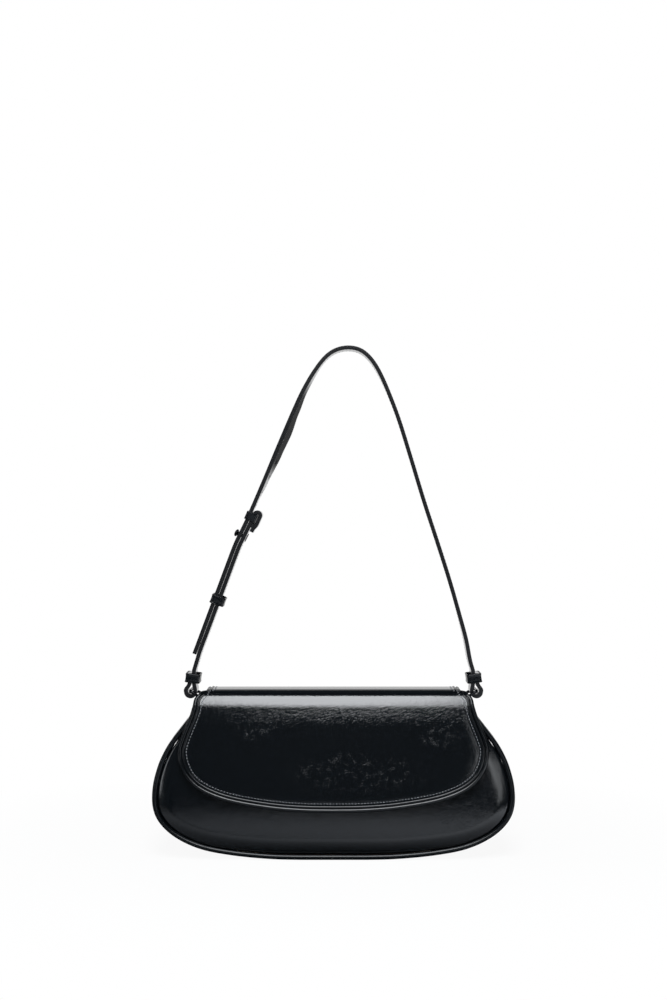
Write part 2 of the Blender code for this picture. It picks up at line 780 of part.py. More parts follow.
def at_height_share(line, share):
    """Where the falling part of a line passes this share of the strap's rise: index and point."""
    height = TURN_HEIGHT + share * STRAP_RISE
    index = max(i for i, p in enumerate(line) if p.y >= height and p.x < HALF_SPAN / 2)
    a, b = line[index], line[index + 1]
    return index, a + (b - a) * ((a.y - height) / (a.y - b.y))


def direction_at(line, share):
    index, _ = at_height_share(line, share)
    return (line[index + 1] - line[index]).normalized()


def loop_frame(line):
    """The fixed loop's middle on the long strap, the way down it and the way in from it."""
    _, middle = at_height_share(line, LOOP_SHARE)
    down = direction_at(line, LOOP_SHARE)
    return middle, down, Vector((-down.y, down.x))


def short_strap_line(line):
    """From the end folded over the fixed loop, down beside the long strap to the left turned end."""
    middle, down, inward = loop_frame(line)
    fold = middle - down * LOOP_FOLD_RISE + inward * (STRAP_PITCH + LOOP_FOLD_RADIUS)
    angle = math.atan2(inward.y, inward.x)
    bend = arc(fold, LOOP_FOLD_RADIUS, angle, angle + math.pi, 10)
    closing = inward * (2 * LOOP_FOLD_RADIUS - STRAP_PITCH)
    open_end = LOOP_FOLD_RISE + LOOP_HEIGHT / 2 + GAP
    tail = []
    for i in range(11):
        along = LOOP_FOLD_TAIL * (1 - i / 10)
        shut = min(max((along - open_end) / (LOOP_FOLD_TAIL - open_end) * FOLD_SHUT_SHARE, 0.0), 1.0)
        tail.append(bend[0] + down * along - closing * shut**2 * (3 - 2 * shut))
    top, _ = at_height_share(line, SHORT_STRAP_SHARES[0])
    bottom, _ = at_height_share(line, SHORT_STRAP_SHARES[1])
    beside = offset(line, STRAP_PITCH)[top + 1 : bottom + 1]
    lower = [strap_point(*shares) for shares in LOWER_LEFT_SHARES]
    return tail[:-1] + bend + smooth(beside[::3] + lower, 3) + turned_end(-1)


def ribbon(name, line, twists=None):
    """A flat strap along a line, with any twist about its front edge in radians at each point."""
    normals = left_normals(line)
    steps = len(line) - 1

    def surface(u, v):
        index = round((u + 1) / 2 * steps)
        twist = twists[index] if twists else 0.0
        across = (v - 0.5) * STRAP_WIDTH
        shift = normals[index] * math.sin(twist) * (across + STRAP_WIDTH / 2)
        return line[index].x + shift.x, across * math.cos(twist), line[index].y + shift.y

    obj = add_mesh(name, grid(steps, 2, surface), patent_leather(name))
    return thicken(obj, STRAP_THICKNESS, 0.0)


def strap_twists(line):
    """The twist at each point, in radians, easing from one of the table's rows to the next."""
    marks = lengths_along(line)
    found = []
    for mark in marks:
        share = mark / marks[-1]
        row = max(i for i, (at, _) in enumerate(TWIST_SHARES[:-1]) if at <= share)
        (low, before), (high, after) = TWIST_SHARES[row : row + 2]
        t = (share - low) / (high - low)
        found.append(TWIST * (before + (after - before) * t**2 * (3 - 2 * t)))
    return found


def across_strap(point, down):
    """A frame whose Z axis points out of the loop, square to the strap."""
    out = Vector((down.y, 0.0, -down.x))
    along = Vector((down.x, 0.0, down.y))
    turn = Matrix((along, out.cross(along), out)).transposed().to_4x4()
    return Matrix.Translation((point.x, 0.0, point.y)) @ turn


def along_strap(point, down):
    """A frame whose Z axis points up the strap and whose X axis points into the loop."""
    up = Vector((-down.x, 0.0, -down.y))
    inward = Vector((-down.y, 0.0, down.x))
    turn = Matrix((inward, up.cross(inward), up)).transposed().to_4x4()
    return Matrix.Translation((point.x, 0.0, point.y)) @ turn


def stud_place(line):
    """The long strap's middle at the button stud, and the way down it."""
    marks = lengths_along(line)
    index, middle = at_height_share(line, LOOP_SHARE)
    start = marks[index] + (middle - line[index]).length
    place = point_at(line, marks, start + STUD_DROP)
    return place, (point_at(line, marks, start + STUD_DROP + GAP) - place).normalized(), start


def straps():
    line = long_strap_line()
    marks = lengths_along(line)
    long_strap = ribbon("strap_long", line, strap_twists(line))
    short_strap = ribbon("strap_short", short_strap_line(line))
    stud_point, down, start = stud_place(line)
    holes = []
    for i in range(-HOLES_BELOW, HOLES_ABOVE + 1):
        mark = start + STUD_DROP - i * HOLE_PITCH
        point = point_at(line, marks, mark)
        way = (point_at(line, marks, mark + OVERRUN) - point_at(line, marks, mark - OVERRUN)).normalized()
        holes.append(across_strap(point, way))
    depth = STRAP_THICKNESS + 2 * OVERRUN
    cut(long_strap, cylinder_cutter("strap holes", HOLE_RADIUS, depth, holes))
    inner = stud_point + Vector((-down.y, down.x)) * STRAP_PITCH
    stud_hole = across_strap(inner, down)
    cut(short_strap, cylinder_cutter("stud hole", HOLE_RADIUS, STRAP_THICKNESS + OVERRUN, [stud_hole]))
    return line, long_strap, short_strap


def button_stud(line):
    """A screwed base inside the short strap, a neck through both straps and a round head."""
    point, down, _ = stud_place(line)
    face = STRAP_THICKNESS / 2 + GAP
    inner_face = -(face + STRAP_PITCH)
    neck_end = inner_face + GAP
    head = [(0.0, face + STUD_HEAD_HEIGHT)]
    head += [
        (STUD_HEAD_RADIUS * math.sin(a), face + STUD_HEAD_HEIGHT / 2 * (1 + math.cos(a)))
        for a in (math.radians(d) for d in (25, 50, 75, 100, 125, 148))
    ]
    neck = [(STUD_NECK_RADIUS, face), (STUD_NECK_RADIUS, neck_end), (0.0, neck_end)]
    stud = turned("button_stud", head + neck, black_metal("button_stud"), steps=14)
    stud.matrix_world = across_strap(point, down)
    half = STUD_BASE_HEIGHT / 2
    base = turned(
        "stud_base",
        ((0.0, 0.0), (STUD_BASE_RADIUS - half, 0.0), (STUD_BASE_RADIUS, -half),
         (STUD_BASE_RADIUS - half, -STUD_BASE_HEIGHT), (0.0, -STUD_BASE_HEIGHT)),
        black_metal("stud_base"), steps=14,
    )
    base.matrix_world = across_strap(point, down) @ Matrix.Translation((0.0, 0.0, inner_face))
    return stud, base


def rounded_box(low, high, half_depth, corner):
    """A rectangle with round corners, from low to high along X."""
    found = []
    for x, y, start in ((high, half_depth, 0.0), (low, half_depth, 90.0), (low, -half_depth, 180.0),
                        (high, -half_depth, 270.0)):
        centre = Vector((x - math.copysign(corner, x - (low + high) / 2), y - math.copysign(corner, y)))
        found += arc(centre, corner, math.radians(start), math.radians(start + 90.0), 3)
    return found


def keeper(name, frame, low, high, height, wall=KEEPER_WALL):
    """A leather band round what lies between low and high in its frame."""
    half_depth = STRAP_WIDTH / 2 + GAP
    corner = 2 * GAP
    inner = rounded_box(low - GAP, high + GAP, half_depth, corner)
    outer = rounded_box(low - GAP - wall, high + GAP + wall, half_depth + wall, corner + wall)
    obj = plate(name, (outer, inner), height / 2, patent_leather(name))
    obj.matrix_world = frame
    return obj


def keepers(line):
    half = STRAP_THICKNESS / 2
    middle, down, _ = loop_frame(line)
    loop_inside = STRAP_PITCH + LOOP_FOLD_RADIUS - LOOP_WALL / 2 - GAP
    loop = keeper("strap_loop", along_strap(middle, down), -half, loop_inside, LOOP_HEIGHT, LOOP_WALL)
    _, place = at_height_share(line, SLIDER_SHARE)
    way = direction_at(line, SLIDER_SHARE)
    slider = keeper("sliding_keeper", along_strap(place, way), -half,
                    half + STRAP_PITCH + KEEPER_SLACK, KEEPER_HEIGHT)
    ends = []
    for name, side in (("end_keeper_left", -1), ("end_keeper_right", 1)):
        leg = Vector((side * strap_point(RIGHT_LEG_SHARES[0][0], 0.0).x, KEEPER_MIDDLE))
        frame = along_strap(leg, Vector((0.0, -1.0)))
        if side < 0:
            span = (-half - STRAP_PITCH - GAP, half + KEEPER_SLACK)
        else:
            span = (-half - KEEPER_SLACK, half + STRAP_PITCH + GAP)
        ends.append(keeper(name, frame, *span, KEEPER_HEIGHT))
    return loop, slider, *ends


# Rings and tabs


def ring(name, side):
    """A rounded wire loop whose outer bar lies in the strap's turn and whose inner bar lies in the tab."""
    half_width_y = RING_WIDTH_INSIDE / 2 + WIRE_RADIUS
    loop = rounded_box(0.0, RING_BAR_PITCH, half_width_y, RING_CORNER)
    points = [
        (side * (HALF_SPAN - p.x * math.cos(RING_SLOPE)), p.y, RING_BAR_HEIGHT - p.x * math.sin(RING_SLOPE))
        for p in loop
    ]
    return tube(name, points, WIRE_RADIUS, black_metal(name), closed=True)


def tab(name, side):
    """A doubled leather tab round the ring's inner bar, sewn down inside the gusset's end."""
    bar = Vector((HALF_SPAN - RING_BAR_PITCH * math.cos(RING_SLOPE),
                  RING_BAR_HEIGHT - RING_BAR_PITCH * math.sin(RING_SLOPE)))
    inside = side_line(GUSSET_THICKNESS + GAP + TAB_THICKNESS, GUSSET_TOP)
    marks = lengths_along(inside)
    low = [point_at(inside, marks, marks[-1] - TAB_LEG * i / 3) for i in range(4)]
    neck = Vector((bar.x, bar.y - TAB_NECK / 2))
    line = smooth([bar, neck] + low, 4)
    hole = WIRE_RADIUS + TAB_EASE
    outer = hole + TAB_THICKNESS
    normals = left_normals(line)
    body = [i for i, p in enumerate(line) if (p - bar).length > outer]
    left = [line[i] + normals[i] * TAB_THICKNESS for i in body]
    right = [line[i] - normals[i] * TAB_THICKNESS for i in body]
    start = (right[0] - bar).angle_signed(Vector((1.0, 0.0)))
    end = (left[0] - bar).angle_signed(Vector((1.0, 0.0)))
    around = arc(bar, outer, end, end + (start - end) % math.tau, 14)
    shape = list(reversed(left)) + around + right
    eye = arc(bar, hole, 0.0, math.tau, 12)[:-1]
    obj = plate(name, (shape, eye), TAB_WIDTH / 2, patent_leather(name))
    stand = Matrix(((side, 0.0, 0.0), (0.0, 0.0, -side), (0.0, 1.0, 0.0))).to_4x4()
    obj.matrix_world = stand
    return obj


def build():
    clear_scene()
    body = [panel("front_panel", -1), panel("back_panel", 1), gusset(),
            piping("front_piping", -1), piping("back_piping", 1), lining(), base_board(),
            facing("front_facing", -1), facing("back_facing", 1)]
    band, under = (BAND_WIDTH, BAND_WIDTH), FLAP_LEATHER + GAP
    flap_back = flap_strip("flap_back", BACK_HINGE + GAP / 2, BACK_FINISH, (BAND_WIDTH, BACK_EDGE_WIDTH),
                           0.0, FLAP_LEATHER, patent_leather("flap_back"))
    flap_top = flap_strip("flap_top", FRONT_HINGE + GAP / 2, BACK_HINGE - GAP / 2, band,
                          0.0, FLAP_LEATHER, patent_leather("flap_top"))
    top_lining = flap_strip("flap_top_lining", FRONT_HINGE + GAP / 2, BAND_END, band,
                            under, FLAP_LINING, patent_leather("flap_top_lining"))
    front = flap_front("flap_front", 0.0, FLAP_LEATHER, patent_leather("flap_front"))
    front_lining = flap_front("flap_front_lining", under, FLAP_LINING, patent_leather("flap_front_lining"))
    binding = flap_binding()
    socket, stud, washer = snap_pieces()
    line, long_strap, short_strap = straps()
    loop, slider, left_keeper, right_keeper = keepers(line)
    button, base = button_stud(line)
    rings = [ring("ring_left", -1), ring("ring_right", 1)]
    tabs = [tab("tab_left", -1), tab("tab_right", 1)]

    root = hinge("bag", (0.0, 0.0, 0.0))
    lift = hinge("flap_lift axis", flap_surface(0.0, BACK_HINGE))
    fold = hinge("flap_fold axis", flap_surface(0.0, FRONT_HINGE))
    swing = hinge("strap_swing axis", (0.0, 0.0, TURN_HEIGHT))
    carry(root, *body, flap_back, socket, washer, *tabs, lift, swing)
    carry(lift, flap_top, top_lining, fold)
    carry(fold, front, front_lining, binding, stud)
    carry(swing, long_strap, short_strap, loop, slider, left_keeper, right_keeper, button, base, *rings)


build()
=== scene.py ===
# %% [markdown]
# # A piped shoulder bag in black patent leather
# The bag stands on a white sweep, lit by one large softbox above the camera. Its frame is
# the imported CAD model. Every soft piece of leather and cloth is made again here with more
# detail. Most ride on the frame's bodies, so that the strap and keepers still move; the
# pieces of the flap and the tabs ride on none.

# %% Load the frame
import math
from collections import Counter

import bpy
import numpy as np
from mathutils import Matrix, Vector


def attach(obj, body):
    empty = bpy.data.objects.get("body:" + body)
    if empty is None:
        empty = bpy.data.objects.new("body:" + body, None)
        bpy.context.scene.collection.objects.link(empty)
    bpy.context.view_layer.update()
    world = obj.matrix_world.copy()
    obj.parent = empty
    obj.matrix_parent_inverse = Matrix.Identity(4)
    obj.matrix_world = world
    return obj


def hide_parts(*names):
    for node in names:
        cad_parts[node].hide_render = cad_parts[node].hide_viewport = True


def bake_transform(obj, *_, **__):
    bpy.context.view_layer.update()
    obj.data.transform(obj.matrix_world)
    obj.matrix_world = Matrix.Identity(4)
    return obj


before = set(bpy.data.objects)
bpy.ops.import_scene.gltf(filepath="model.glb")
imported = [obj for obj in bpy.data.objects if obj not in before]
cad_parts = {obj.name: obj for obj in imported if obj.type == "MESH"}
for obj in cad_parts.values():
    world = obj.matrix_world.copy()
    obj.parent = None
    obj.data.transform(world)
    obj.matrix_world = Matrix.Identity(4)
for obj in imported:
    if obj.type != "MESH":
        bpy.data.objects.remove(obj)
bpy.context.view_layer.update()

# %% [markdown]
# ## The camera
# The photograph looks level at the bag from the front, a little above the top of the body,
# from far enough away that the strap hardly leans. A 59 mm lens at 1.3 m gives the same
# view of the flap's top and of the base. It needs no shift and no depth of field.

# %% Camera
bpy.ops.object.select_all(action="DESELECT")
bpy.ops.object.camera_add(location=(0.0, -1.3, 0.2768), rotation=(math.pi / 2, 0.0, 0.0))
camera = bpy.context.object
camera.name = "camera"
camera.data.lens = 59.33
bpy.context.scene.camera = camera
print("camera lens, mm:", camera.data.lens)

# %% [markdown]
# ## Colours and nodes
# Colours are written as the hex codes that a colour picker shows. Those are sRGB values,
# and the shaders work in linear light, so one function turns them. One more adds a node
# with its settings and links, which keeps each material short enough to read. A node given
# as an input is linked by its first output. Sizes of patterns are millimetres of the bag.

# %% Helpers for materials
MM = 0.001


def colour(code):
    """An sRGB hex code as linear red, green, blue and alpha."""
    parts = [int(code[i : i + 2], 16) / 255 for i in (1, 3, 5)]
    return (*(p / 12.92 if p <= 0.04045 else ((p + 0.055) / 1.055) ** 2.4 for p in parts), 1.0)


def fill(tree, made, inputs):
    """Sets a node's inputs, each to a value or to what another node gives out."""
    for name, value in inputs.items():
        if isinstance(value, bpy.types.Node):
            value = value.outputs[0]
        if isinstance(value, bpy.types.NodeSocket):
            tree.links.new(value, made.inputs[name])
        else:
            made.inputs[name].default_value = value
    return made


def node(tree, kind, inputs=None, **settings):
    """Adds a node, with its properties and its inputs."""
    made = tree.nodes.new("ShaderNode" + kind)
    for name, value in settings.items():
        setattr(made, name, value)
    return fill(tree, made, inputs or {})


def blank_material(name):
    """A material with its node tree, its Principled shader and the place on the object."""
    material = bpy.data.materials.new(name)
    material.use_nodes = True
    tree = material.node_tree
    return material, tree, tree.nodes["Principled BSDF"], node(tree, "TexCoord").outputs["Object"]


print("black of the leather, linear:", [round(v, 4) for v in colour("#06090c")[:3]])

# %% [markdown]
# ## The white sweep and the light
# The background is a paper sweep: a floor that curves up into a wall behind the bag. It is
# one plane, its back edge extruded up and the corner bevelled round. Paper lit in a studio
# looks evenly white, so camera, glossy and transmission rays see plain white mixed in, the
# more the farther from the bag. The rest of it is lit paper, which keeps the bag's shadow.

# %% Sweep
PARTS = {"VERT": "vertices", "EDGE": "edges", "FACE": "polygons"}


def select_where(piece, kind, test):
    """Selects what passes a test, and stays in edit mode for the tool that follows."""
    bpy.ops.object.mode_set(mode="EDIT")
    bpy.ops.mesh.select_mode(type=kind)
    bpy.ops.mesh.select_all(action="DESELECT")
    bpy.ops.object.mode_set(mode="OBJECT")
    for part in getattr(piece.data, PARTS[kind]):
        part.select = test(part)
    bpy.ops.object.mode_set(mode="EDIT")


def edge_ends(piece, edge):
    return [piece.data.vertices[i].co for i in edge.vertices]


def flat_sheet(name, place, size, turned=0.0):
    """A plane of this size, turned about X, with its place in its mesh."""
    bpy.ops.object.select_all(action="DESELECT")
    bpy.ops.mesh.primitive_plane_add(size=1.0, location=place, rotation=(turned, 0.0, 0.0))
    piece = bpy.context.object
    piece.name = name
    bpy.ops.transform.resize(value=size)
    bpy.ops.object.transform_apply(location=True, rotation=True, scale=True)
    return piece


sweep = flat_sheet("paper_sweep", (0.0, -0.4, 0.0), (6.0, 5.4, 1.0))
select_where(sweep, "EDGE", lambda edge: all(p.y > 2.0 for p in edge_ends(sweep, edge)))
bpy.ops.mesh.extrude_region_move(TRANSFORM_OT_translate={"value": (0.0, 0.0, 2.4)})
select_where(sweep, "EDGE", lambda edge: all(p.y > 2.0 and p.z < 0.01 for p in edge_ends(sweep, edge)))
bpy.ops.mesh.bevel(offset=0.7, segments=16, affect="EDGES")
bpy.ops.object.mode_set(mode="OBJECT")
bpy.ops.object.shade_smooth()

paper, tree, shader, place = blank_material("coated_white_paper")
fill(tree, shader, {"Base Color": colour("#fafafa"), "Roughness": 0.9})
rays = node(tree, "LightPath").outputs
away = node(tree, "VectorMath", {0: place}, operation="LENGTH").outputs["Value"]
seen = node(tree, "Math", {0: rays["Is Camera Ray"], 1: rays["Is Transmission Ray"]}, operation="ADD")
plain = node(tree, "MapRange", {"Value": away, "From Min": 0.16, "From Max": 0.40, "To Min": 0.93})
seen = node(tree, "Math", {0: seen, 1: plain}, operation="MULTIPLY")
mirrored = node(tree, "MapRange", {"Value": away, "From Min": 0.25, "From Max": 0.9, "To Max": 0.85})
mirrored = node(tree, "Math", {0: rays["Is Glossy Ray"], 1: mirrored}, operation="MULTIPLY")
share = node(tree, "Math", {0: seen, 1: mirrored}, operation="MAXIMUM")
white = node(tree, "Emission", {"Color": colour("#ffffff"), "Strength": 1.0})
mixed = node(tree, "MixShader", {0: share, 1: shader, 2: white})
fill(tree, tree.nodes["Material Output"], {"Surface": mixed})
sweep.data.materials.append(paper)
print("sweep faces:", len(sweep.data.polygons))

# %% [markdown]
# Two cards stand in for the dark studio in front of the bag, and only reflections see them.
# They are black sheets with painted light, a glow in their emission, though neither is a lamp.
# One lies on the paper. Beside the bag it is black, as painted shade, and farther out it glows,
# as painted light standing in for a table under a softbox. The other stands far off and glows
# within an oval. Between them they paint the reflection that is the lower body's grey band,
# which fades out downwards and is lighter to the right.

# %% Cards
def card(name, place, size, turned=0.0):
    """A flat card that only glossy rays see: a black material whose emission carries painted light."""
    piece = flat_sheet(name, place, size, turned)
    for rays in ("camera", "diffuse", "shadow", "transmission", "volume_scatter"):
        setattr(piece, f"visible_{rays}", False)
    painted_glow, tree, shader, at = blank_material(name + "_flock")
    fill(tree, shader, {"Base Color": colour("#0d0d0e"), "Roughness": 0.95,
                        "Emission Color": colour("#f0f6ff")})
    piece.data.materials.append(painted_glow)
    print(name, "m:", [round(v, 2) for v in piece.dimensions])
    return tree, shader, node(tree, "SeparateXYZ", {0: at}).outputs


# Painted light: black near the bag as painted shade, then a glow farther out that is stronger to the right and
# fades far off.
tree, shader, at = card("table_card", (0.0, -1.13, 0.0006), (2.4, 2.32, 1.0))
near = node(tree, "MapRange", {"Value": at["Y"], "From Min": -0.036, "From Max": -0.146})
near = node(tree, "Math", {0: near, 1: 0.6}, operation="POWER")
far = node(tree, "MapRange", {"Value": at["Y"], "From Min": -0.55, "From Max": -1.0,
                              "To Min": 0.75, "To Max": 0.0})
lit = node(tree, "Math", {0: near, 1: far}, operation="MULTIPLY")
side = node(tree, "Math", {0: 9.0, 1: at["X"]}, operation="POWER")
fill(tree, shader, {"Emission Strength": node(tree, "Math", {0: lit, 1: side}, operation="MULTIPLY")})

# Painted light: a glow within an oval, stronger to the right.
tree, shader, at = card("low_card", (0.0, -2.4, 0.26), (2.4, 1.0, 0.52), math.pi / 2)
tall = node(tree, "Math", {0: at["Z"], 1: 0.47}, operation="DIVIDE")
oval = node(tree, "CombineXYZ", {0: at["X"], 1: tall})
oval = node(tree, "VectorMath", {0: oval}, operation="LENGTH").outputs["Value"]
lit = node(tree, "MapRange", {"Value": oval, "From Min": 0.88, "From Max": 1.08, "To Min": 0.78, "To Max": 0.0})
side = node(tree, "Math", {0: 1.5, 1: at["X"]}, operation="POWER")
fill(tree, shader, {"Emission Strength": node(tree, "Math", {0: lit, 1: side}, operation="MULTIPLY")})

# %% [markdown]
# ## Studio light
# The bright band along the top of the flap is a softbox, seen in the curve of the leather.
# Its place follows from that: the fold shows it where the leather tips by 50 to 70 degrees,
# so it hangs in front of the bag and above the camera. Strip lamps on both sides show in
# the leather that turns outwards. Round the sweep the studio is dim and a little blue,
# which is why the flap's middle stays almost black.

# %% Lamps and world
MIDDLE_OF_BAG = Vector((0.0, 0.0, 0.12))


def softbox(name, place, size, strength):
    """A rectangular area lamp that faces the bag. Its strength is its face's radiance."""
    bpy.ops.object.select_all(action="DESELECT")
    bpy.ops.object.light_add(type="AREA", location=place)
    lamp = bpy.context.object
    lamp.name = name
    lamp.data.shape = "RECTANGLE"
    lamp.data.size, lamp.data.size_y = size
    lamp.data.energy = strength * math.pi * size[0] * size[1]
    lamp.rotation_euler = (MIDDLE_OF_BAG - Vector(place)).to_track_quat("-Z", "Y").to_euler()
    lamp.data.color = (0.94, 0.97, 1.0)
    lamp.visible_camera = False
    print(name, "power, W:", round(lamp.data.energy, 1))


softbox("softbox_front", (-0.02, -0.93, 1.30), (0.55, 1.15), 12.0)
softbox("strip_left", (-1.15, -1.00, 0.62), (0.30, 0.70), 3.0)
softbox("strip_right", (0.77, -1.19, 0.42), (0.32, 0.36), 2.0)
softbox("strip_high", (0.60, -1.42, 0.62), (0.22, 0.40), 2.4)

world = bpy.data.worlds.new("studio")
bpy.context.scene.world = world
world.use_nodes = True
tree = world.node_tree
rays = node(tree, "LightPath").outputs
seen = node(tree, "Math", {0: rays["Is Camera Ray"], 1: rays["Is Transmission Ray"]},
            operation="ADD", use_clamp=True)
room = node(tree, "Background", {"Color": colour("#d3e0ec"), "Strength": 0.08})
backdrop = node(tree, "Background", {"Color": colour("#ffffff"), "Strength": 1.0})
fill(tree, tree.nodes["World Output"], {"Surface": node(tree, "MixShader", {0: seen, 1: room, 2: backdrop})})
bpy.context.scene.view_settings.view_transform = "Standard"

# %% [markdown]
# ## Patent leather
# Patent leather is calf coated with a thick glossy film. On a soft bag the film moves:
# there is a fine crackle, broken creases where the hide has been bent, short wrinkles just
# under the flap's fold, and a slow unevenness that makes a highlight's edge ragged. All of
# it is relief in the film, so it goes into bumps. The creases lie in a few places only, so
# each of those places is a soft ellipsoid. The dye is near black, with no gloss of its own:
# the film is the shader's coat. Where the strap is pulled through to adjust it, its film is
# crazed, and that stretch has less coat.

# %% Patent leather
CREASED = (
    ((-0.060, -0.02, 0.101), (0.022, 0.06, 0.013)),
    ((0.016, -0.03, 0.066), (0.078, 0.06, 0.021)),
    ((0.082, -0.02, 0.094), (0.022, 0.06, 0.012)),
    ((0.100, -0.03, 0.034), (0.036, 0.06, 0.018)),
)


def from_middle(tree, place, middle, reach):
    """How far a place is from an ellipsoid's middle: 1 is its surface."""
    gone = node(tree, "VectorMath", {0: place, 1: middle}, operation="SUBTRACT")
    gone = node(tree, "VectorMath", {0: gone, 1: reach}, operation="DIVIDE")
    return node(tree, "VectorMath", {0: gone}, operation="LENGTH").outputs["Value"]


def finish(tree, shader, pattern, dark, light, inputs, height=None, depth=0.0):
    """A pattern between two colours, with relief of a depth in millimetres."""
    mixed = node(tree, "Mix", {"Factor": pattern, 6: colour(dark), 7: colour(light)}, data_type="RGBA")
    fill(tree, shader, {"Base Color": mixed.outputs[2], **inputs})
    if height:
        fill(tree, shader, {"Normal": node(tree, "Bump", {"Height": height, "Distance": depth * MM})})


def patent_leather(name, crackle, crackle_depth, crease_depth, sway_depth, gloss,
                   stretch=(1.0, 1.0, 1.0), crazed=None, film=1.0):
    """Black patent leather. Lengths and depths are in millimetres."""
    material, tree, shader, at = blank_material(name)
    near = 0.0
    for middle, reach in CREASED:
        gone = from_middle(tree, at, middle, reach)
        soft = node(tree, "MapRange", {"Value": gone, "From Min": 1.1, "From Max": 0.5})
        near = node(tree, "Math", {0: soft, 1: near}, operation="MAXIMUM")
    height = node(tree, "SeparateXYZ", {0: at}).outputs["Z"]
    rising = node(tree, "MapRange", {"Value": height, "From Min": 0.097, "From Max": 0.110})
    falling = node(tree, "MapRange", {"Value": height, "From Min": 0.1215, "From Max": 0.1175})
    under_fold = node(tree, "Math", {0: rising, 1: falling}, operation="MULTIPLY")
    folds = node(tree, "Mapping", {"Vector": at, "Rotation": (0.0, math.radians(-34.0), 0.0),
                                   "Scale": (3.0 * MM, 0.8 * MM, 0.8 * MM)}, vector_type="TEXTURE")
    folds = node(tree, "TexNoise", {"Vector": folds, "Scale": 1.0, "Detail": 2.0, "Distortion": 0.4})
    folds = node(tree, "Math", {0: folds, 1: under_fold}, operation="MULTIPLY")

    place = node(tree, "Mapping", {"Vector": at, "Scale": stretch})
    drift = node(tree, "TexNoise", {"Vector": place, "Scale": 1 / (5 * MM), "Detail": 3.0}).outputs["Color"]
    drift = node(tree, "VectorMath", {0: drift, 1: (0.5, 0.5, 0.5)}, operation="SUBTRACT")
    drift = node(tree, "VectorMath", {0: drift, "Scale": 3.0 * MM}, operation="SCALE")
    bent = node(tree, "VectorMath", {0: place, 1: drift}, operation="ADD")
    creases = node(tree, "Mapping", {"Vector": bent, "Scale": (0.7, 1.0, 1.0)})
    creases = node(tree, "TexVoronoi", {"Vector": creases, "Scale": 1 / (1.1 * MM)}, feature="DISTANCE_TO_EDGE")
    creases = node(tree, "MapRange", {"Value": creases, "From Min": 0.08, "From Max": 0.0})
    broken = node(tree, "TexNoise", {"Vector": place, "Scale": 1 / (4 * MM), "Detail": 3.0, "Roughness": 0.7})
    broken = node(tree, "MapRange", {"Value": broken, "From Min": 0.46, "From Max": 0.60})
    for share in (broken, near):
        creases = node(tree, "Math", {0: creases, 1: share}, operation="MULTIPLY")
    cracks = node(tree, "TexVoronoi", {"Vector": bent, "Scale": 1 / (crackle * MM)}, feature="DISTANCE_TO_EDGE")
    cracks = node(tree, "MapRange", {"Value": cracks, "From Max": 0.22})
    fine = node(tree, "TexNoise", {"Vector": place, "Scale": 1 / (0.9 * MM), "Detail": 4.0})
    slow = node(tree, "TexNoise", {"Vector": place, "Scale": 1 / (13 * MM), "Detail": 2.0, "Roughness": 0.55})

    relief = node(tree, "Bump", {"Height": slow, "Distance": sway_depth * MM})
    for value, depth in ((fine, 0.008), (cracks, crackle_depth), (folds, 0.16), (creases, crease_depth)):
        relief = node(tree, "Bump", {"Height": value, "Distance": depth * MM, "Normal": relief})
    if crazed:
        reach = {"Value": from_middle(tree, at, *crazed), "From Min": 0.7, "From Max": 1.1}
        film = node(tree, "MapRange", {**reach, "To Min": 0.22})
        gloss = node(tree, "MapRange", {**reach, "To Min": 0.35, "To Max": gloss})
    finish(tree, shader, fine, "#06090c", "#0a0d10", {
        "Normal": relief, "Coat Normal": relief, "Roughness": 0.42, "Specular IOR Level": 0.0,
        "Coat Weight": film, "Coat Roughness": gloss, "Coat IOR": 1.52})
    return material


film_leather = patent_leather("patent_calf_leather", 1.3, 0.010, 0.017, 0.10, 0.095)
strap_leather = patent_leather("patent_strap_leather", 1.2, 0.004, 0.0, 0.02, 0.05, stretch=(1.0, 0.5, 1.0),
                               crazed=((-0.036, 0.0, 0.333), (0.034, 0.03, 0.042)))
keeper_leather = patent_leather("patent_keeper_leather", 1.6, 0.016, 0.0, 0.02, 0.10, film=0.5)
roll_leather = patent_leather("patent_piping_leather", 1.3, 0.010, 0.02, 0.05, 0.18, film=0.45)
rim_leather = patent_leather("patent_binding_leather", 1.3, 0.010, 0.02, 0.05, 0.12, film=0.65)
print("leather materials:", len([m for m in bpy.data.materials if "leather" in m.name]))

# %% [markdown]
# ## Lining leather, edge paint and thread
# The flap's inside and the mouth's facing are smooth black lining leather, matt beside the
# patent. Cut edges are sealed with edge paint, a thick acrylic that dries with a satin
# skin. The seams are sewn with bonded black thread, coloured mid grey here as a painted
# sheen that stands in for the thread's shine. Its twist is finer than a pixel, so its
# relief is drawn at about half a millimetre.

# %% Lining leather, edge paint, thread
lining_leather, tree, shader, place = blank_material("black_lining_leather")
pores = node(tree, "TexVoronoi", {"Vector": place, "Scale": 1 / (0.8 * MM)})
cloud = node(tree, "TexNoise", {"Vector": place, "Scale": 1 / (18 * MM), "Detail": 3.0})
finish(tree, shader, cloud, "#141516", "#1d1e20", {"Roughness": 0.52}, pores, 0.06)

edge_paint, tree, shader, place = blank_material("acrylic_edge_paint")
ripple = node(tree, "TexNoise", {"Vector": place, "Scale": 1 / (2.5 * MM), "Detail": 2.0})
finish(tree, shader, ripple, "#08090b", "#0d0e11",
       {"Roughness": 0.34, "Specular IOR Level": 0.35}, ripple, 0.05)

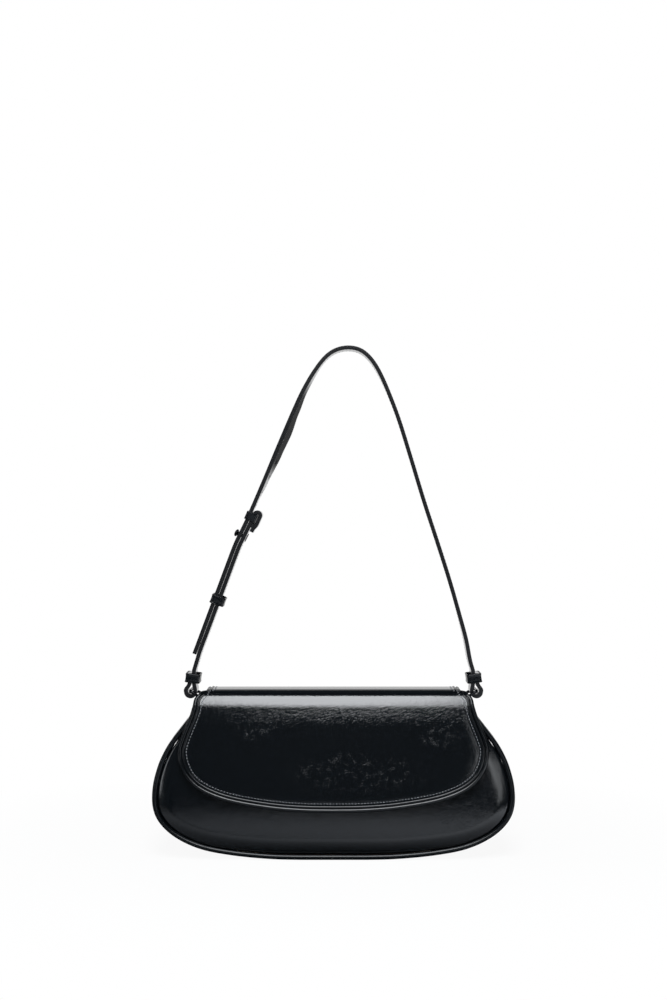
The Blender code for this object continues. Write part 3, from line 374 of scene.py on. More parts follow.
# Painted sheen: the black thread is coloured mid grey, so that the stitches show light.
thread, tree, shader, place = blank_material("bonded_thread_with_painted_sheen")
twist = node(tree, "TexWave", {"Vector": place, "Scale": 1 / (1.2 * MM), "Distortion": 1.0},
             bands_direction="DIAGONAL").outputs["Fac"]
finish(tree, shader, twist, "#54565a", "#6e7074",
       {"Roughness": 0.30, "Specular IOR Level": 1.0, "Coat Weight": 1.0, "Coat Roughness": 0.15}, twist, 0.08)

# %% [markdown]
# ## Black plated metal, twill and board
# The rings, the stud and the snap are die-cast and plated with black nickel: a dark mirror
# with faint polishing marks. The sack inside is cotton twill, whose ribs run diagonally
# about 0.7 mm apart; they are drawn at 1.4 mm so that they show. A stiff fibreboard
# lies under it in the base.

# %% Metal, twill, board
WAVES_PER_UNIT = 3.2  # the bands that a wave texture draws in one unit, at scale 1

black_nickel, tree, shader, place = blank_material("black_nickel_plate")
marks = node(tree, "TexNoise", {"Vector": place, "Scale": 1 / (1.5 * MM), "Detail": 3.0})
rough = node(tree, "MapRange", {"Value": marks, "To Min": 0.16, "To Max": 0.30})
finish(tree, shader, marks, "#1c1c1e", "#2b2b2e", {"Roughness": rough, "Metallic": 1.0})

twill, tree, shader, place = blank_material("black_cotton_twill")
turned = node(tree, "Mapping", {"Vector": place, "Rotation": (0.0, math.radians(45.0), 0.0)})
ribs = node(tree, "TexWave", {"Vector": turned, "Scale": 1 / (1.4 * MM * WAVES_PER_UNIT), "Distortion": 0.4})
slubs = node(tree, "TexNoise", {"Vector": place, "Scale": 1 / (0.8 * MM), "Detail": 3.0})
weave = node(tree, "Math", {0: ribs.outputs["Fac"], 1: slubs}, operation="MULTIPLY")
finish(tree, shader, weave, "#17181a", "#2c2e31", {"Roughness": 0.85, "Sheen Weight": 0.3}, weave, 0.25)

fibreboard, tree, shader, place = blank_material("grey_fibreboard")
fibres = node(tree, "TexNoise", {"Vector": place, "Scale": 1 / (1.2 * MM), "Detail": 5.0})
finish(tree, shader, fibres, "#7a6c58", "#a19379", {"Roughness": 0.8}, fibres, 0.1)
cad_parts["base_board"].data.materials.clear()
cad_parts["base_board"].data.materials.append(fibreboard)
print("materials:", sorted(m.name for m in bpy.data.materials)[:20])

# %% [markdown]
# ## Lines in a plane
# A bag is drawn flat before it is cut. These functions do what a pattern cutter does with
# a curve: smooth it through a few points, measure along it, draw it in by a seam's width
# and stop it at a height.

# %% Pattern lines
GAP = 0.0003


def clamp(value):
    return min(max(value, 0.0), 1.0)


def smooth_line(points, steps=8):
    """A smooth line through the points."""
    padded = [points[0], *points, points[-1]]
    found = []
    for before, start, end, after in zip(padded, padded[1:], padded[2:], padded[3:]):
        for step in range(steps):
            t = step / steps
            found.append(0.5 * (2 * start + (end - before) * t
                                + (2 * before - 5 * start + 4 * end - after) * t**2
                                + (3 * start - before - 3 * end + after) * t**3))
    return found + [points[-1]]


def running_lengths(points):
    total = [0.0]
    for a, b in zip(points, points[1:]):
        total.append(total[-1] + (b - a).length)
    return total


def point_along(points, marks, length):
    """The point this far along a line whose running lengths are marks."""
    index = int(np.clip(np.searchsorted(marks, length, side="right") - 1, 0, len(points) - 2))
    span = marks[index + 1] - marks[index]
    t = clamp((length - marks[index]) / span if span else 0.0)
    return points[index].lerp(points[index + 1], t)


def even_points(points, count):
    marks = running_lengths(points)
    return [point_along(points, marks, marks[-1] * i / count) for i in range(count + 1)]


def side_normals(points):
    """Unit normals to the left of a plane line."""
    found = []
    for i in range(len(points)):
        along = points[min(i + 1, len(points) - 1)] - points[max(i - 1, 0)]
        found.append(Vector((-along.y, along.x)).normalized())
    return found


def drawn_in(points, distance):
    return [p + n * distance for p, n in zip(points, side_normals(points))]


def stopped_at(points, top):
    """The line up to this height, run on along its last stretch if it is short."""
    kept = [points[0]]
    for a, b in zip(points, points[1:]):
        if b.y >= top:
            break
        kept.append(b)
    else:
        a, b = points[-2], points[-1]
    return kept + [a + (b - a) * ((top - a.y) / (b.y - a.y))]


def both_sides(half):
    """A half line from the middle to the right, with its mirror image."""
    return [Vector((-p.x, p.y)) for p in reversed(half[1:])] + half


def arc_points(centre, radius, start, end, steps):
    turns = (start + (end - start) * i / steps for i in range(steps + 1))
    return [centre + radius * Vector((math.cos(a), math.sin(a))) for a in turns]


def distance_to(line, x, y):
    """How far a point, or its mirror image on the right, is from a line given as an array."""
    a, b = line[:-1], line[1:]
    p = np.array((abs(x), y))
    t = np.clip(((p - a) * (b - a)).sum(1) / np.maximum(((b - a) ** 2).sum(1), 1e-12), 0, 1)
    return float(np.sqrt(((a + t[:, None] * (b - a) - p) ** 2).sum(1)).min())


# %% [markdown]
# ## The body's form
# Two lines make the body: the outline, as the front shows it, and the depth of the seams,
# which narrows from the base to the mouth. Between the seams each panel swells. Close to
# the piping the leather rolls back into the seam, and that makes the dark groove that
# runs inside the piping.

# %% Body form
BODY_WIDTH, BODY_HEIGHT = 0.281, 0.122
BASE_DEPTH, MOUTH_DEPTH, BASE_ROUND, BELLY = 0.066, 0.025, 0.010, 0.005
PIPING_RADIUS = 0.002
PANEL_INSET = 2 * PIPING_RADIUS + 1.5 * GAP
PANEL_THICKNESS = 0.002
ROLL, ROLL_DEPTH = 0.011, 0.0008
CORNER_HEIGHT = 0.149 * BODY_HEIGHT
OUTLINE_TABLE = (
    (0.18, 0.0), (0.32, 0.0036), (0.4555, 0.0150), (0.573, 0.031), (0.692, 0.056), (0.790, 0.093),
    (0.872, 0.142), (0.932, 0.197), (0.972, 0.255), (0.993, 0.316), (1.0, 0.385), (0.995, 0.467),
    (0.980, 0.5434), (0.956, 0.623), (0.9145, 0.713), (0.861, 0.795), (0.804, 0.877), (0.754, 0.9295),
    (0.712, 0.971), (0.687, 1.0),
)
OUTLINE = smooth_line([Vector((x * BODY_WIDTH / 2, z * BODY_HEIGHT)) for x, z in OUTLINE_TABLE])
OUTLINE = [Vector((0.0, 0.0)), OUTLINE[0] / 2] + OUTLINE
OUTLINE_POINTS = np.array([tuple(p) for p in OUTLINE])


def side_line(inset, top):
    return stopped_at(drawn_in(OUTLINE, inset), top)


def half_width(z):
    return float(np.interp(z, OUTLINE_POINTS[2:, 1], OUTLINE_POINTS[2:, 0]))


def seam_depth(z):
    """How far the seam lies from the middle plane at this height."""
    rise = max(z - BASE_ROUND, 0.0)
    return BASE_DEPTH / 2 - (BASE_DEPTH - MOUTH_DEPTH) / 2 * rise / (BODY_HEIGHT - BASE_ROUND)


def belly(x, z):
    """How far a panel swells beyond its seams."""
    across = max(1.0 - (x / half_width(z)) ** 2, 0.0)
    return BELLY * across**0.6 * math.sin(math.pi * clamp(z / BODY_HEIGHT)**0.55)


def panel_depth(x, z):
    """The outer face of a panel, rolled back into the seam at its edge."""
    inside = clamp((distance_to(OUTLINE_POINTS, x, z) - PANEL_INSET) / ROLL)
    return seam_depth(z) + belly(x, z) * (1.0 - (1.0 - inside) ** 2) - ROLL_DEPTH * (1.0 - inside) ** 2


def pattern_patch(half, corner_height):
    """A map from the square to the area inside a half outline and its mirror image."""
    split = next(i for i, p in enumerate(half) if p.y > corner_height)
    low, high = half[: split + 1], half[split:]
    low_marks, high_marks = running_lengths(low), running_lengths(high)
    corners = (low[0], low[-1], Vector((0.0, high[-1].y)), high[-1])

    def place(u, v):
        a = abs(u)
        bottom = point_along(low, low_marks, a * low_marks[-1])
        side = point_along(high, high_marks, v * high_marks[-1])
        upper = corners[2].lerp(corners[3], a)
        flat = corners[0].lerp(corners[1], a).lerp(upper, v)
        found = corners[0].lerp(corners[2], v).lerp(side, a) + bottom.lerp(upper, v) - flat
        return math.copysign(found.x, u), found.y

    return place


print("outline length of one side, mm:", round(running_lengths(OUTLINE)[-1] * 1000, 1))

# %% [markdown]
# ## Making a piece of leather
# Every panel here starts the same way, as a grid of squares. The grid is laid on its form,
# given its thickness with Solidify, and its cut edges are softened with Bevel. A new
# primitive is added to whatever is selected, so everything is deselected first. Pieces
# that no primitive resembles start from their points or from a curve.

# %% Leather helpers
def only(piece):
    """Selects one piece and nothing else."""
    bpy.ops.object.select_all(action="DESELECT")
    piece.select_set(True)
    bpy.context.view_layer.objects.active = piece
    return piece


def apply_modifier(piece, kind, **settings):
    only(piece)
    modifier = piece.modifiers.new(kind.title(), kind)
    for name, value in settings.items():
        setattr(modifier, name, value)
    bpy.ops.object.modifier_apply(modifier=modifier.name)
    return piece


def mesh_piece(name, points, edges, faces):
    """A new piece from its points, edges and faces, selected alone."""
    mesh = bpy.data.meshes.new(name)
    mesh.from_pydata(points, edges, faces)
    piece = bpy.data.objects.new(name, mesh)
    bpy.context.scene.collection.objects.link(piece)
    return only(piece)


def face_outwards(merge=0.0):
    """Turns the faces of the active piece outwards, after merging points that lie together."""
    bpy.ops.object.mode_set(mode="EDIT")
    bpy.ops.mesh.select_all(action="SELECT")
    if merge:
        bpy.ops.mesh.remove_doubles(threshold=merge)
    bpy.ops.mesh.normals_make_consistent(inside=False)
    bpy.ops.object.mode_set(mode="OBJECT")


def soften(piece, width, segments, angle):
    """Bevels the edges that are sharper than an angle in degrees."""
    apply_modifier(piece, "BEVEL", width=width, segments=segments, limit_method="ANGLE",
                   angle_limit=math.radians(angle))


def smooth_faces(piece, angle=40.0):
    only(piece)
    bpy.ops.object.shade_smooth_by_angle(angle=math.radians(angle))
    return piece


def laid_grid(name, columns, rows, form):
    """A grid primitive, each of its points carried to its place by form(u, v)."""
    bpy.ops.object.select_all(action="DESELECT")
    bpy.ops.mesh.primitive_grid_add(x_subdivisions=columns, y_subdivisions=rows, size=2.0)
    sheet = bpy.context.object
    sheet.name = sheet.data.name = name
    for vert in sheet.data.vertices:
        vert.co = form(vert.co.x, (vert.co.y + 1) / 2)
    return sheet


def turn_over(piece):
    """Turns a sheet's faces the other way."""
    only(piece)
    bpy.ops.object.mode_set(mode="EDIT")
    bpy.ops.mesh.select_all(action="SELECT")
    bpy.ops.mesh.flip_normals()
    bpy.ops.object.mode_set(mode="OBJECT")
    return piece


def cut_leather(piece, thickness, middle=-1.0, edge=0.0005):
    """Gives a sheet its thickness and soft cut edges."""
    apply_modifier(piece, "SOLIDIFY", thickness=thickness, offset=middle, use_even_offset=True)
    if edge:
        soften(piece, edge, 2, 50.0)
    return smooth_faces(piece)


def dress(piece, body, slot, *materials):
    """Gives a piece its materials and the body that it rides on. Its record slot is not used."""
    piece.data.materials.clear()
    for material in materials:
        piece.data.materials.append(material)
    if body:
        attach(piece, body)
    return piece


# %% [markdown]
# ## Front and back panels
# Each panel is one piece of leather, pulled over the bag's swelling form and sewn into the
# piping. It could be sculpted, but the outline has to meet the piping everywhere, so the
# grid is laid between the seams.

# %% Panels
def body_panel(name, side, replaced):
    place = pattern_patch(side_line(PANEL_INSET, BODY_HEIGHT), CORNER_HEIGHT)

    def form(u, v):
        x, z = place(u, v)
        return x, side * panel_depth(x, z), z

    piece = laid_grid(name, 110, 44, form)
    if side > 0:
        turn_over(piece)
    cut_leather(piece, PANEL_THICKNESS)
    dress(piece, "bag", "patent_leather", film_leather)
    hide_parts(replaced)
    print(name, "faces:", len(piece.data.polygons))


body_panel("front_panel_leather", -1, "front_panel")
body_panel("back_panel_leather", 1, "back_panel")

# %% [markdown]
# ## Gusset
# One long strip is both the sides and the base. Between its two rows of piping the leather
# draws in a little on the sides, where nothing behind it holds it out, and stays flat
# under the base, where the board lies.

# %% Gusset
GUSSET_TOP, GUSSET_STEPS, GUSSET_SAG = 0.112, 200, 0.0016
gusset_line = even_points(both_sides(side_line(0.0, GUSSET_TOP)), GUSSET_STEPS)
gusset_normals = side_normals(gusset_line)


def gusset_form(u, v):
    index = round((u + 1) / 2 * GUSSET_STEPS)
    p, n = gusset_line[index], gusset_normals[index]
    sag = GUSSET_SAG * clamp((p.y - 0.004) / 0.03) * (1 - (2 * v - 1) ** 2)
    depth = (seam_depth(p.y) - PIPING_RADIUS - 2 * GAP) * (2 * v - 1)
    return p.x + n.x * sag, depth, p.y + n.y * sag


gusset_leather = turn_over(laid_grid("gusset_leather", GUSSET_STEPS, 10, gusset_form))
cut_leather(gusset_leather, PANEL_THICKNESS)
dress(gusset_leather, "bag", "patent_leather", film_leather)
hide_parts("gusset")

# %% [markdown]
# ## Piping
# Piping is a cord wrapped in a strip of the same leather and sewn between two pieces. A
# curve with a round bevel is its natural form. The curve is made a mesh at the end, so
# that its place is in its points.

# %% Piping
def rolled(name, points, radius, closed=False, radii=None):
    """A round roll along a line of points, as a mesh."""
    curve = bpy.data.curves.new(name, "CURVE")
    curve.dimensions = "3D"
    curve.bevel_depth = radius
    curve.bevel_resolution = 6
    curve.use_fill_caps = not closed
    spline = curve.splines.new("POLY")
    spline.points.add(len(points) - 1)
    for i, (point, place) in enumerate(zip(spline.points, points)):
        point.co = (*place, 1.0)
        point.radius = radii[i] if radii else 1.0
    spline.use_cyclic_u = closed
    roll = bpy.data.objects.new(name, curve)
    bpy.context.scene.collection.objects.link(roll)
    only(roll)
    bpy.ops.object.convert(target="MESH")
    roll = bpy.context.object
    face_outwards(merge=0.00001)
    return smooth_faces(roll, 50.0)


PIPING_TOP = 0.119
for name, side, replaced in (("front_piping_roll", -1, "front_piping"),
                             ("back_piping_roll", 1, "back_piping")):
    line = even_points(both_sides(side_line(PIPING_RADIUS + GAP / 2, PIPING_TOP)), 260)
    piping = rolled(name, [(p.x, side * seam_depth(p.y), p.y) for p in line], PIPING_RADIUS)
    dress(piping, "bag", "patent_leather", roll_leather)
    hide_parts(replaced)
    print(name, "length, mm:", round(running_lengths(line)[-1] * 1000, 1))

# %% [markdown]
# ## Lining sack and facings
# Inside hangs a sack of twill. It is two walls joined round their sides and bottom, which
# Bridge does, and then given its thickness. Above it, inside the mouth, a leather facing
# is sewn to each panel.

# %% Lining and facings
LINING_TOP, LINING_INSET, LINING_EASE, LINING_CLOTH = 0.099, 0.0052, 0.0015, 0.0008
FACING_LEATHER, FACING_DROP = 0.0012, 0.001


def lining_wall(name, side):
    place = pattern_patch(side_line(LINING_INSET, LINING_TOP), CORNER_HEIGHT)

    def form(u, v):
        x, z = place(u, v)
        return x, side * (seam_depth(z) + belly(x, z) - PANEL_THICKNESS - LINING_EASE), z

    return laid_grid(name, 48, 18, form)


lining_sack = lining_wall("lining_sack", -1)
back_wall = turn_over(lining_wall("lining_back", 1))
only(lining_sack)
back_wall.select_set(True)
bpy.ops.object.join()
uses = Counter(key for face in lining_sack.data.polygons for key in face.edge_keys)
select_where(lining_sack, "EDGE", lambda edge: uses[edge.key] == 1
             and min(p.z for p in edge_ends(lining_sack, edge)) < LINING_TOP - GAP)
bpy.ops.mesh.bridge_edge_loops()
face_outwards()
if sum(f.normal.y for f in lining_sack.data.polygons if f.center.y < -0.01) > 0:
    turn_over(lining_sack)
cut_leather(lining_sack, LINING_CLOTH, edge=0.0)
dress(lining_sack, "bag", "twill", twill)
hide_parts("lining")

for name, side, replaced in (("front_facing_leather", -1, "front_facing"),
                             ("back_facing_leather", 1, "back_facing")):
    def facing_form(u, v, side=side):
        z = LINING_TOP + 2 * GAP + (BODY_HEIGHT - FACING_DROP - LINING_TOP - 2 * GAP) * v
        x = u * (half_width(BODY_HEIGHT) - PANEL_INSET - PIPING_RADIUS)
        return x, side * (seam_depth(z) + belly(x, z) - PANEL_THICKNESS - 2 * GAP), z

    facing = laid_grid(name, 40, 8, facing_form)
    if side > 0:
        turn_over(facing)
    cut_leather(facing, FACING_LEATHER, edge=0.0003)
    dress(facing, "bag", "patent_leather", lining_leather)
    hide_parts(replaced)
print("lining box, mm:", [round(v * 1000, 1) for v in lining_sack.dimensions])

# %% [markdown]
# ## The flap's form
# The flap is one sheet. A point of it is found by how far across it lies and how far
# along: up the front, round the front fold, over the mouth, round the back fold and down
# the back, where it is sewn flat. The front hangs clear of the piping and of the snap, and
# its fold opens out downwards, as in heavy leather, so two arcs make it.

# %% Flap form
FLAP_TOP, FLAP_WIDTH, FLAP_DROP, FLAP_HEM = 0.1286, 0.24121, 0.090, 0.0371
FLAP_LEATHER, FLAP_LINING = 0.0018, 0.0012
FRONT_RADIUS, SLACK_RADIUS, FRONT_TURN, BACK_RADIUS = 0.0125, 0.021, math.radians(50.0), 0.008
BAND_WIDTH, RIM_WIDTH, RIM_RUN, RIM_SETBACK = 0.1996, 0.2086, 0.0015, 0.0044
BACK_EDGE_WIDTH, BACK_EDGE_HEIGHT = 0.190, 0.096
FLAP_EASE, BACK_SEW_TOP, BINDING_RADIUS = 0.0006, 0.104, 0.00175
SNAP_HEIGHT, SNAP_CAP, SNAP_PLATE = 0.052, 0.0018, 0.0009
FLAP_TABLE = (
    (0.0, 0.0), (0.20, 0.0045), (0.415, 0.0278), (0.6635, 0.0833), (0.829, 0.161), (0.929, 0.261),
    (0.9826, 0.383), (1.0, 0.5056), (0.984, 0.606), (0.954, 0.711), (0.926, 0.806), (0.910, 0.883),
    (0.905, 0.925), (0.898, 0.965), (0.88, 1.0),
)
SEAM_SLOPE = (BASE_DEPTH - MOUTH_DEPTH) / 2 / (BODY_HEIGHT - BASE_ROUND)
FLAP_THICKNESS = FLAP_LEATHER + GAP + FLAP_LINING
EASE_SLOPE = (SNAP_CAP + SNAP_PLATE + 4 * GAP - PIPING_RADIUS - FLAP_EASE) / (BODY_HEIGHT - SNAP_HEIGHT)
FRONT_LEAN, BACK_LEAN = math.atan(SEAM_SLOPE + EASE_SLOPE), math.atan(SEAM_SLOPE)


def front_line(z):
    ease = PIPING_RADIUS + FLAP_EASE + EASE_SLOPE * (BODY_HEIGHT - z)
    return -(seam_depth(z) + ease + FLAP_THICKNESS)


def back_line(z):
    rise = clamp((z - BACK_SEW_TOP) / (GUSSET_TOP - BACK_SEW_TOP))
    return seam_depth(z) + GAP + FLAP_LEATHER + rise * (PIPING_RADIUS + FLAP_EASE - GAP)


FRONT_FOLD_END = (FLAP_TOP - FRONT_RADIUS * (1 - math.cos(FRONT_TURN))
                  - SLACK_RADIUS * (math.cos(FRONT_TURN) - math.sin(FRONT_LEAN)))
BACK_FOLD_END = FLAP_TOP - BACK_RADIUS * (1 - math.sin(BACK_LEAN))
FRONT_FOLD_Y = (front_line(FRONT_FOLD_END) + FRONT_RADIUS * math.sin(FRONT_TURN)
                + SLACK_RADIUS * (math.cos(FRONT_LEAN) - math.sin(FRONT_TURN)))
BACK_FOLD_Y = back_line(BACK_FOLD_END) - BACK_RADIUS * math.cos(BACK_LEAN)
BAND_START = (FRONT_FOLD_END + FRONT_RADIUS * FRONT_TURN
              + SLACK_RADIUS * (math.pi / 2 - FRONT_LEAN - FRONT_TURN))
BAND_END = BAND_START + BACK_FOLD_Y - FRONT_FOLD_Y
BAND_MIDDLE = (BAND_START + BAND_END) / 2
BACK_START = BAND_END + BACK_RADIUS * (math.pi / 2 - BACK_LEAN)
BACK_FINISH = BACK_START + BACK_FOLD_END - BACK_EDGE_HEIGHT
FRONT_HINGE = FLAP_HEM + FLAP_DROP
FLAP_LOW = FRONT_HINGE - FLAP_DROP
RIM_END = BAND_START - RIM_SETBACK
BACK_HINGE = (BAND_END + BACK_START) / 2


def flap_surface(x, mark, lift=0.0):
    """The point of the flap's outer face at x and this far along, or lift beneath it."""
    if mark <= FRONT_FOLD_END:
        return x, front_line(mark) - belly(x, mark) + lift + pulled_in(x, mark), mark
    if mark < BAND_START:
        radius, turn = FRONT_RADIUS, (BAND_START - mark) / FRONT_RADIUS
        y, z = FRONT_FOLD_Y, FLAP_TOP - FRONT_RADIUS
        if turn > FRONT_TURN:
            radius, turn = SLACK_RADIUS, FRONT_TURN + (turn - FRONT_TURN) * FRONT_RADIUS / SLACK_RADIUS
            y += (SLACK_RADIUS - FRONT_RADIUS) * math.sin(FRONT_TURN)
            z -= (SLACK_RADIUS - FRONT_RADIUS) * math.cos(FRONT_TURN)
        y, z = y - (radius - lift) * math.sin(turn), z + (radius - lift) * math.cos(turn)
        return x, y - belly(x, z), z
    if mark <= BAND_END:
        return x, FRONT_FOLD_Y + mark - BAND_START, FLAP_TOP - lift
    if mark < BACK_START:
        turn = math.pi / 2 - (mark - BAND_END) / BACK_RADIUS
        z = FLAP_TOP - BACK_RADIUS + (BACK_RADIUS - lift) * math.sin(turn)
        return x, BACK_FOLD_Y + (BACK_RADIUS - lift) * math.cos(turn) + belly(x, z), z
    z = BACK_FOLD_END - (mark - BACK_START)
    return x, back_line(z) + belly(x, z) - lift, z


def pulled_in(x, mark):
    """How far the stitches draw the leather in, near their row."""
    side = clamp((abs(x) - STITCH_SIDE) / STITCH_SIDE_RUN)
    run = STITCH_EASE * (1 + 2 * side)
    stops = (STITCH_INNER, SEAM_INSET, SEAM_INSET + 0.4 * run, SEAM_INSET + run)
    depth = np.interp(distance_to(HEM_POINTS, x, mark), stops, (0.0, 1.0, 0.35, 0.0))
    return STITCH_PULL * (1 + 1.5 * side) * float(depth) * clamp((FRONT_FOLD_END - mark) / STITCH_FADE)


def flap_width(mark):
    """The flap's whole width from its front fold on. It is cut in beside the rings, where
    the tabs need the room when the strap swings."""
    open_part = clamp((RIM_END - mark) / RIM_RUN)
    shut = max(mark - BACK_HINGE, 0.0) / (BACK_FINISH - BACK_HINGE)
    return BAND_WIDTH + (RIM_WIDTH - BAND_WIDTH) * open_part + (BACK_EDGE_WIDTH - BAND_WIDTH) * shut


def flap_side(inset, end):
    """The right half of the flap's outline, in x and in marks along the sheet."""
    line = smooth_line([Vector((x * FLAP_WIDTH / 2, FLAP_LOW + w * FLAP_DROP)) for x, w in FLAP_TABLE])
    line = stopped_at(drawn_in(line, inset), min(end, FRONT_HINGE))
    if end > FRONT_HINGE:
        stops = [RIM_END - RIM_RUN, RIM_END, BAND_MIDDLE, BAND_END, BACK_HINGE, BACK_START, BACK_FINISH]
        for mark in [m for m in stops if m < end] + [end]:
            line.append(Vector((flap_width(mark) / 2 - inset, mark)))
    return line


def bend_front(piece):
    """Bakes a piece's place into its points."""
    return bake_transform(piece, "flap_top", "flap_front", start=flap_surface(0.0, BAND_START),
                    end=flap_surface(0.0, FRONT_FOLD_END))


def bend_back(piece):
    """Bakes a piece's place into its points."""
    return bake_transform(piece, "bag", "flap_top", start=flap_surface(0.0, BACK_START),
                    end=flap_surface(0.0, BAND_END))


HEM_POINTS = np.array([tuple(p) for p in flap_side(0.0, FRONT_HINGE)])
SEAM_INSET, STITCH_INNER, STITCH_PULL, STITCH_EASE, STITCH_RISE = 0.0070, 0.0056, 0.00012, 0.0025, 0.00018
STITCH_SIDE, STITCH_SIDE_RUN, STITCH_FADE = 0.085, 0.02, 0.008
print("flap leather along the middle, mm:", round((BACK_FINISH - FLAP_LOW) * 1000, 1))

# %% [markdown]
# ## The flap's leather
# The sheet crosses two folds, and it is made in two pieces that meet in the middle of the
# flat band over the mouth. There the two ends lie on each other and the join can't be seen.

# %% Flap leather
EDGE_INSET = 2 * BINDING_RADIUS


def flap_sheet(name, lift, end):
    place = pattern_patch(flap_side(EDGE_INSET, end), FLAP_LOW + 0.383 * FLAP_DROP)

    def form(u, v):
        x, mark = place(u, v)
        return flap_surface(x, mark, lift)

    return laid_grid(name, 110, 90, form)


flap_leather = flap_sheet("flap_front_leather", 0.0, BAND_MIDDLE)
cut_leather(flap_leather, FLAP_LEATHER, edge=0.0)
dress(flap_leather, None, "patent_leather", film_leather)
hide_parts("flap_front")
bend_front(flap_leather)

flap_lining = flap_sheet("flap_lining_leather", FLAP_LEATHER + 0.5 * GAP, BAND_END)
cut_leather(flap_lining, FLAP_LINING, edge=0.0)
dress(flap_lining, None, "patent_leather", lining_leather)
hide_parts("flap_front_lining", "flap_top_lining")
bend_front(flap_lining)


def back_form(u, v):
    mark = BAND_MIDDLE + (BACK_FINISH - BAND_MIDDLE) * v
    inset = EDGE_INSET * clamp((BACK_START - mark) / 0.006)
    return flap_surface(u * (flap_width(mark) / 2 - inset), mark)


flap_back_leather = laid_grid("flap_back_leather", 90, 60, back_form)
cut_leather(flap_back_leather, FLAP_LEATHER, edge=0.0)
dress(flap_back_leather, None, "patent_leather", film_leather)
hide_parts("flap_back", "flap_top")
bend_back(flap_back_leather)
print("flap faces:", len(flap_leather.data.polygons) + len(flap_back_leather.data.polygons))

# %% [markdown]
# ## The flap's edge
# The edge is bound: a strip of leather is rolled over it, and a second ridge lies just
# inside, where the strip's own edge is turned under. Both are rolls along the outline,
# drawn in by their place in the photograph.

# %% Binding and inner ridge
BINDING = (BINDING_RADIUS, FLAP_THICKNESS / 2, BINDING_RADIUS)  # inset, lift, radius
RIDGE = (0.0045, 0.0006, 0.0011)


def flap_roll(name, inset, lift, radius, replaced=None):
    outline = both_sides(even_points(flap_side(inset, BACK_START), 170))
    roll = rolled(name, [flap_surface(p.x, p.y, lift) for p in outline if p.y <= BAND_MIDDLE], radius)
    dress(roll, None, "patent_leather", rim_leather)
    if replaced:
        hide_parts(replaced)
    return bend_front(roll)


SIDES = (("left", -1), ("right", 1))
binding = flap_roll("flap_edge_binding", *BINDING, "flap_binding")
flap_roll("flap_inner_ridge", *RIDGE)
for name, (inset, lift, radius) in (("flap_side_binding", BINDING), ("flap_side_ridge", RIDGE)):
    for end, sign in SIDES:
        marks = np.linspace(BAND_MIDDLE, BACK_START - 0.001, 40)
        places = [flap_surface(sign * (flap_width(m) / 2 - inset), m, lift) for m in marks]
        radii = [min(1.0, 0.25 + (marks[-1] - m) / 0.006) for m in marks]
        piece = rolled(f"{name}_{end}", places, radius, radii=radii)
        dress(piece, None, "patent_leather", rim_leather)
        bend_back(piece)
print("binding faces:", len(binding.data.polygons))

# %% [markdown]
# ## Stitches
# A stitch shows as a short thread that dips into the leather at both ends. One is modelled
# as a small stretched sphere with few faces. Each seam is then a row of copies, set down
# along its line and turned with the surface.

# %% Stitch helper
bpy.ops.object.select_all(action="DESELECT")
bpy.ops.mesh.primitive_uv_sphere_add(segments=6, ring_count=5, radius=0.5)
one_stitch = bpy.context.object
bpy.ops.object.mode_set(mode="EDIT")
bpy.ops.mesh.select_all(action="SELECT")
bpy.ops.transform.resize(value=(0.00110, 0.00080, 0.0016))
bpy.ops.object.mode_set(mode="OBJECT")
STITCH_POINTS = np.array([v.co for v in one_stitch.data.vertices])
STITCH_FACES = [tuple(f.vertices) for f in one_stitch.data.polygons]
bpy.data.objects.remove(one_stitch)


def sew(name, rows, pitch=0.0024, size=1.0, rise=0.0):
    """Rows of stitches. A row is a list of (place, surface normal), close together."""
    points, faces = [], []
    for row in rows:
        line = [Vector(p) for p, _ in row]
        marks = running_lengths(line)
        count = max(int(marks[-1] / pitch), 1)
        for i in range(count):
            at = marks[-1] * (i + 0.5) / count
            index = int(np.clip(np.searchsorted(marks, at) - 1, 0, len(line) - 2))
            middle = point_along(line, marks, at)
            along = (line[index + 1] - line[index]).normalized()
            out = Vector(row[index][1]).normalized()
            side = out.cross(along).normalized()
            turn = np.array((side, out, along)).T
            faces += [tuple(k + len(points) * len(STITCH_POINTS) for k in f) for f in STITCH_FACES]
            points.append(STITCH_POINTS * size @ turn.T + np.array(middle + out * rise))
    piece = mesh_piece(name, np.concatenate(points).tolist(), [], faces)
    bpy.ops.object.shade_smooth()
    piece.data.materials.append(thread)
    print(name, "stitches:", len(points))
    return piece


def flap_stitch(x, mark, turned_at=None):
    """A place on the flap and the surface normal there, or where the middle has it."""
    step = 0.0004
    a = x if turned_at is None else turned_at
    p, q, r = (Vector(flap_surface(*at)) for at in ((a, mark), (a + step, mark), (a, mark + step)))
    return flap_surface(x, mark), (q - p).cross(r - p).normalized()


# %% [markdown]
# ## The flap's seams
# One row follows the flap's edge about 7 mm in, over the fold and down to the back. On the
# back the flap is sewn to the body with a row along its three edges. Under the flap, one
# more row closes the front of the mouth.

# %% Flap stitches
front_row = [flap_stitch(p.x, p.y) for p in even_points(both_sides(flap_side(SEAM_INSET, BAND_MIDDLE)), 500)]
bend_front(sew("flap_front_stitches", [front_row], rise=STITCH_RISE))


def back_seam_x(mark):
    """The side rows run out to the back edge, below the fold."""
    return flap_width(mark) / 2 - SEAM_INSET + 0.004 * max(mark - BACK_START, 0) / 0.025


BACK_SEAM, MOUTH_SEAM, MOUTH_SEAM_END = 0.003, 0.0035, 0.089
bottom = BACK_FINISH - BACK_SEAM
marks = np.linspace(BAND_MIDDLE, bottom, 60)
back_rows = [[flap_stitch(sign * back_seam_x(m), m, turned_at=0.0) for m in marks] for sign in (-1, 1)]
back_end = BACK_EDGE_WIDTH / 2 - BACK_SEAM
back_rows.append([flap_stitch(x, bottom) for x in np.linspace(-back_end, back_end, 90)])
bend_back(sew("flap_back_stitches", back_rows))

